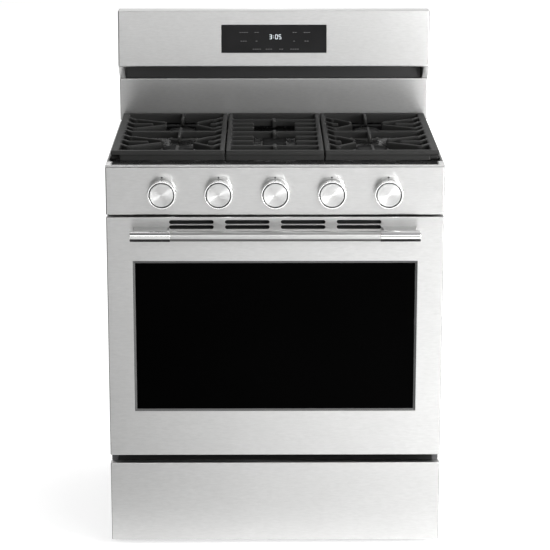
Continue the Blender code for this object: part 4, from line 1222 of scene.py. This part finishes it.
def broil():
    """The broil burner's tube: out along one side, across the front and back along the other."""
    x, _, z = spans("broil_burner")
    near, far = depths("broil_burner")
    height = sum(z) / 2
    radius = (z[1] - z[0]) / 2
    left, right = x[0] + radius, x[1] - radius
    corner = 0.030
    front = near + radius
    angles = [math.pi / 2 * k / 8 for k in range(9)]
    bend = [(corner * (1 - math.cos(a)), front + corner * (1 - math.sin(a))) for a in angles]
    path = [at(left, far, height)]
    path += [at(left + inset, depth, height) for inset, depth in bend]
    path += [at(right - inset, depth, height) for inset, depth in bend[::-1]]
    path.append(at(right, far, height))
    bm = bmesh.new()
    add_tube(bm, path, radius, False, 20)
    piece("broil_tube", bm, ZINC, "range_body", "broil_burner")


def bake():
    """The bake burner's tube, with a row of small ports along each side."""
    low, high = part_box("bake_burner")
    radius = (high.x - low.x) / 2
    length = high.y - low.y
    ports, sides = 60, 24

    def port(turn, index):
        return 0.94 if index % 2 and (turn * sides) % (sides / 2) < 1 else 1.0

    profile = [(0, 0), (radius * 0.9, 0), (radius, 0.001)]
    profile += [(radius, 0.006 + k * (length - 0.012) / ports) for k in range(ports + 1)]
    profile += [(radius, length - 0.001), (0, length)]
    start = Vector(((low.x + high.x) / 2, low.y, (low.z + high.z) / 2))
    bm = bmesh.new()
    add_turned(bm, profile, start, BACK, sides, port)
    piece("bake_tube", bm, ZINC, "range_body", "bake_burner", smooth=30)


def lamp_and_probe():
    x, _, z = spans("oven_liner")
    back = depths("oven_liner")[1] - SHEET
    where = at(x[0] + 0.085, back, z[1] - 0.075)
    bm = bmesh.new()
    profile = [(0, -0.0006), (0.030, -0.0006), (0.030, 0.003)]
    profile += [(r, 0.003 + d * 0.45) for r, d in arc(0, 0, 0.0285, 8, 90, 8)[:-1]]
    profile.append((0, 0.003 + 0.0285 * 0.45))
    add_turned(bm, profile, where, OUT, 40)
    piece("oven_lamp", bm, LAMP, "range_body")
    bm = bmesh.new()
    start = at(x[1] - 0.070, back, z[1] - 0.090)
    add_rod(bm, start, start + OUT * 0.0012, 0.012, 24)
    add_rod(bm, start, start + OUT * 0.055, 0.0024, 16)
    piece("temperature_probe", bm, RACK_CHROME, "range_body", bevel=0.0004)


# Body, back and feet


def body_shell():
    for _, name in SIDES:
        keep(f"side_panel_{name}", SIDE_PAINT, 0.0006)
        keep(f"door_hinge_{name}", ZINC, 0.0005)
    for node in ("base_frame", "backguard_rear_cover"):
        keep(node, ZINC, 0.0005)
    for node in ("gas_manifold", "rear_panel"):
        keep(node, ZINC, 0.0004)
    keep("gas_regulator", BRASS, 0.0004)
    back_screws()
    louvres()
    cord_hole()
    gas_inlet()
    places = [(at(side * (HALF - 0.0022), depth, 0.045), ACROSS * side) for side in (-1, 1)
              for depth in (0.075, 0.33, 0.585)]
    screws("side_screws", places, 0.0035, STEEL_EDGE, "range_body")


def back_screws():
    """Screws along the seams of the rear panel and of the duct cover, almost sunk in the sheet."""
    x, y, z = spans("rear_panel")
    cover_x, cover_y, cover_z = spans("backguard_rear_cover")
    panel, cover = y[1] - 0.0026, cover_y[1] - 0.0026
    points = []
    for side in (-1, 1):
        points += [(side * (x[1] - 0.007), panel, z[0] + 0.05 + k * 0.15) for k in range(6)]
        points += [(side * (cover_x[1] - 0.012), cover, cover_z[0] + 0.03 + k * 0.11) for k in range(3)]
    points += [((k - 2) * 0.16, panel, z[1] - 0.010) for k in range(5)]
    screws("rear_screws", [(Vector(point), BACK) for point in points], 0.0036, STEEL_EDGE, "range_body")


def louvres():
    """Three columns of pressed louvres in the duct cover."""
    _, y, z = spans("backguard_rear_cover")
    section = ((0, 0), (0.0021, -0.002), (0.0021, -0.0045), (0, -0.011))
    width = 0.120
    bm = bmesh.new()
    for column in (-1, 0, 1):
        for row in range(5):
            where = Vector((column * 0.20 - width / 2, y[1] - 0.0022, z[0] + 0.10 + row * 0.022))
            add_prism(bm, [where + Vector((0, out, up)) for out, up in section], ACROSS * width)
    piece("rear_louvres", bm, ZINC, "range_body", bevel=0.0003)


def cord_hole():
    """The rubber ring in the hole for the power cord, which isn't shown."""
    bore, radius = 0.0045, 0.0108
    profile = [(bore, -0.006), (radius, -0.006), (radius, -SHEET - 0.0002)]
    profile += arc(radius, -0.0012, 0.0012, -40, 90, 4)
    profile += [(0.0052, 0.0), (bore, -0.0006), (bore, -0.006)]
    bm = bmesh.new()
    add_turned(bm, profile, Vector((CORD_X, spans("rear_panel")[1][1], CORD_Z)), BACK, 32)
    piece("cord_grommet", bm, RUBBER, "range_body")


def gas_inlet():
    """The threaded end of the gas regulator, with a ridge for each turn."""
    low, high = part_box("gas_regulator")
    bore, root, crest, pitch = 0.0062, 0.0100, 0.0108, 0.0018
    profile = [(bore, -0.020), (bore, 0.0), (root, 0.0)]
    for k in range(7):
        profile += [(crest, -0.0006 - k * pitch), (root, -0.0015 - k * pitch)]
    profile += [(0.0104, -0.0145), (0.0104, -0.020), (bore, -0.020)]
    bm = bmesh.new()
    add_turned(bm, profile, Vector(((low.x + high.x) / 2, high.y - 0.0001, GAS_Z)), BACK, 40)
    piece("gas_inlet_thread", bm, BRASS, "range_body", smooth=20)


def feet():
    for end in ("front", "rear"):
        for _, name in SIDES:
            foot(f"foot_{end}_{name}", f"{end}_{name}_foot")


def foot(node, body):
    """A levelling foot: a round pad, a nut with six flats and a ridged stem."""
    low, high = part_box(node)
    radius = (high.x - low.x) / 2
    stem, pitch = 0.0047, 0.0017

    def flats(turn, index):
        across = 0.92 / math.cos((turn * 6 % 1 - 0.5) * math.tau / 6)
        return across if index in (5, 6) else 1.0

    profile = [(0, 0), (radius - 0.0015, 0), (radius, 0.0015), (radius, 0.0075), (radius - 0.0015, 0.0095)]
    profile += [(radius * 0.72, 0.0096), (radius * 0.72, 0.0134), (stem, 0.0136)]
    for k in range(22):
        profile += [(stem, 0.0140 + k * pitch), (stem - 0.0006, 0.0148 + k * pitch)]
    profile += [(stem - 0.001, high.z), (0, high.z)]
    middle = (low + high) / 2
    bm = bmesh.new()
    add_turned(bm, profile, Vector((middle.x, middle.y, low.z)), UP, 36, flats)
    piece(f"levelling_{node}", bm, PLASTIC, body, node, smooth=25)


# Studio


def studio():
    """A pale floor that glows faintly beside and behind the range, with painted shade on its left, and four
    soft lights.
    """
    bm = bmesh.new()
    bmesh.ops.create_grid(bm, x_segments=1, y_segments=1, size=40)
    floor = link("studio_floor", mesh_of(bm, "studio_floor"))
    made = Surface("floor_paper", Roughness=0.9, Specular_IOR_Level=0.1, Emission_Color=(1, 1, 1, 1))
    axes = made.node("SeparateXYZ", {0: made.place((1, 1, 1))}).outputs
    made.connect("Emission Strength", made.rescale(axes["Y"], 0, 0.62, -0.60, -0.34))
    # Painted shade: the floor's colour is darker on the left, from about 2 m in front of the range backwards,
    # so the steel's left side reflects a dimmer floor.
    left = made.rescale(axes["X"], 1, 0, -0.50, 0.0)
    dim = made.multiply(left, made.rescale(axes["Y"], start=-3.0, end=-2.2))
    grain = made.noise((40, 40, 40), 2.0)
    pale = made.blend(made.rescale(grain), (0.90, 0.90, 0.90), (0.915, 0.915, 0.915))
    made.connect("Base Color", made.blend(dim, pale, (0.58, 0.58, 0.58)))
    floor.data.materials.append(made.material)
    floor.location.z = -0.0002
    sky()
    softbox("key_light", (1.25, -1.35, 0.95), (0.45, -0.95, 0), 0.9, 0.9, 27)
    softbox("side_light", (1.9, -4.0, 1.6), (0.75, -3.8, 0), 1.3, 1.3, 64)
    softbox("front_light", (0.4, -6.2, 3.2), (0.4, -5.6, 0), 4.0, 2.5, 105)
    softbox("back_light", (0.0, 4.6, 3.2), (0, 4.6, 0), 7.0, 9.0, 230)


def softbox(name, where, aim, width, height, power):
    light = bpy.data.lights.new(name, "AREA")
    light.shape = "RECTANGLE"
    light.size, light.size_y = width, height
    light.energy = power
    obj = bpy.data.objects.new(name, light)
    obj.location = where
    obj.rotation_euler = (Vector(aim) - Vector(where)).to_track_quat("-Z", "Y").to_euler()
    obj.visible_camera = False
    bpy.context.scene.collection.objects.link(obj)


def sky():
    """A white surround: a darker band high up, and in front a fall from bright right to dim left."""
    world = bpy.data.worlds.new("studio")
    world.use_nodes = True
    bpy.context.scene.world = world
    tree = world.node_tree

    def step_up(value, start, end, low, high):
        spread = {"Value": value, "From Min": start, "From Max": end, "To Min": low, "To Max": high}
        return add_node(tree, "MapRange", spread, interpolation_type="SMOOTHSTEP").outputs["Result"]

    way = add_node(tree, "TexCoord").outputs["Generated"]
    axes = add_node(tree, "SeparateXYZ", {0: way}).outputs
    band = add_node(tree, "ValToRGB", {0: axes["Z"]})
    stops = ((0.0, 1.0), (0.60, 1.0), (0.66, 0.45), (0.75, 0.45), (0.83, 1.05), (1.0, 1.05))
    while len(band.color_ramp.elements) < len(stops):
        band.color_ramp.elements.new(0.5)
    for element, (position, value) in zip(band.color_ramp.elements, stops):
        element.position = position
        element.color = (value, value, value, 1)
    ahead = step_up(axes["X"], -0.22, 0.22, 0.36, 1.47)
    behind = step_up(axes["Y"], -0.2, 0.3, 0.0, 1.0)
    across = add_node(tree, "Mix", {0: behind, 2: ahead, 3: 1.15}, data_type="FLOAT").outputs[0]
    light = add_node(tree, "VectorMath", {0: band.outputs[0], 1: across}, operation="MULTIPLY")
    back = tree.nodes["Background"]
    tree.links.new(light.outputs["Vector"], back.inputs["Color"])
    back.inputs["Strength"].default_value = 0.40


def camera():
    """The photo's viewpoint, solved from the straight edges of the front."""
    data = bpy.data.cameras.new("camera")
    data.lens = 143.785
    data.sensor_width = 36.0
    obj = bpy.data.objects.new("camera", data)
    obj.location = (-0.02876, -5.0854, 1.86980)
    obj.rotation_euler = (math.radians(75.7565), 0, math.radians(-0.33868))
    bpy.context.scene.collection.objects.link(obj)
    bpy.context.scene.camera = obj
    bpy.context.scene.view_settings.view_transform = "Standard"


camera()
door_skin()
vent_baffle()
window()
inner_door()
handle()
drawer()
fascia()
knobs()
cooktop()
burners()
for side, name in SIDES:
    side_grate(side, name)
center_grate()
backguard()
oven()
body_shell()
feet()
studio()
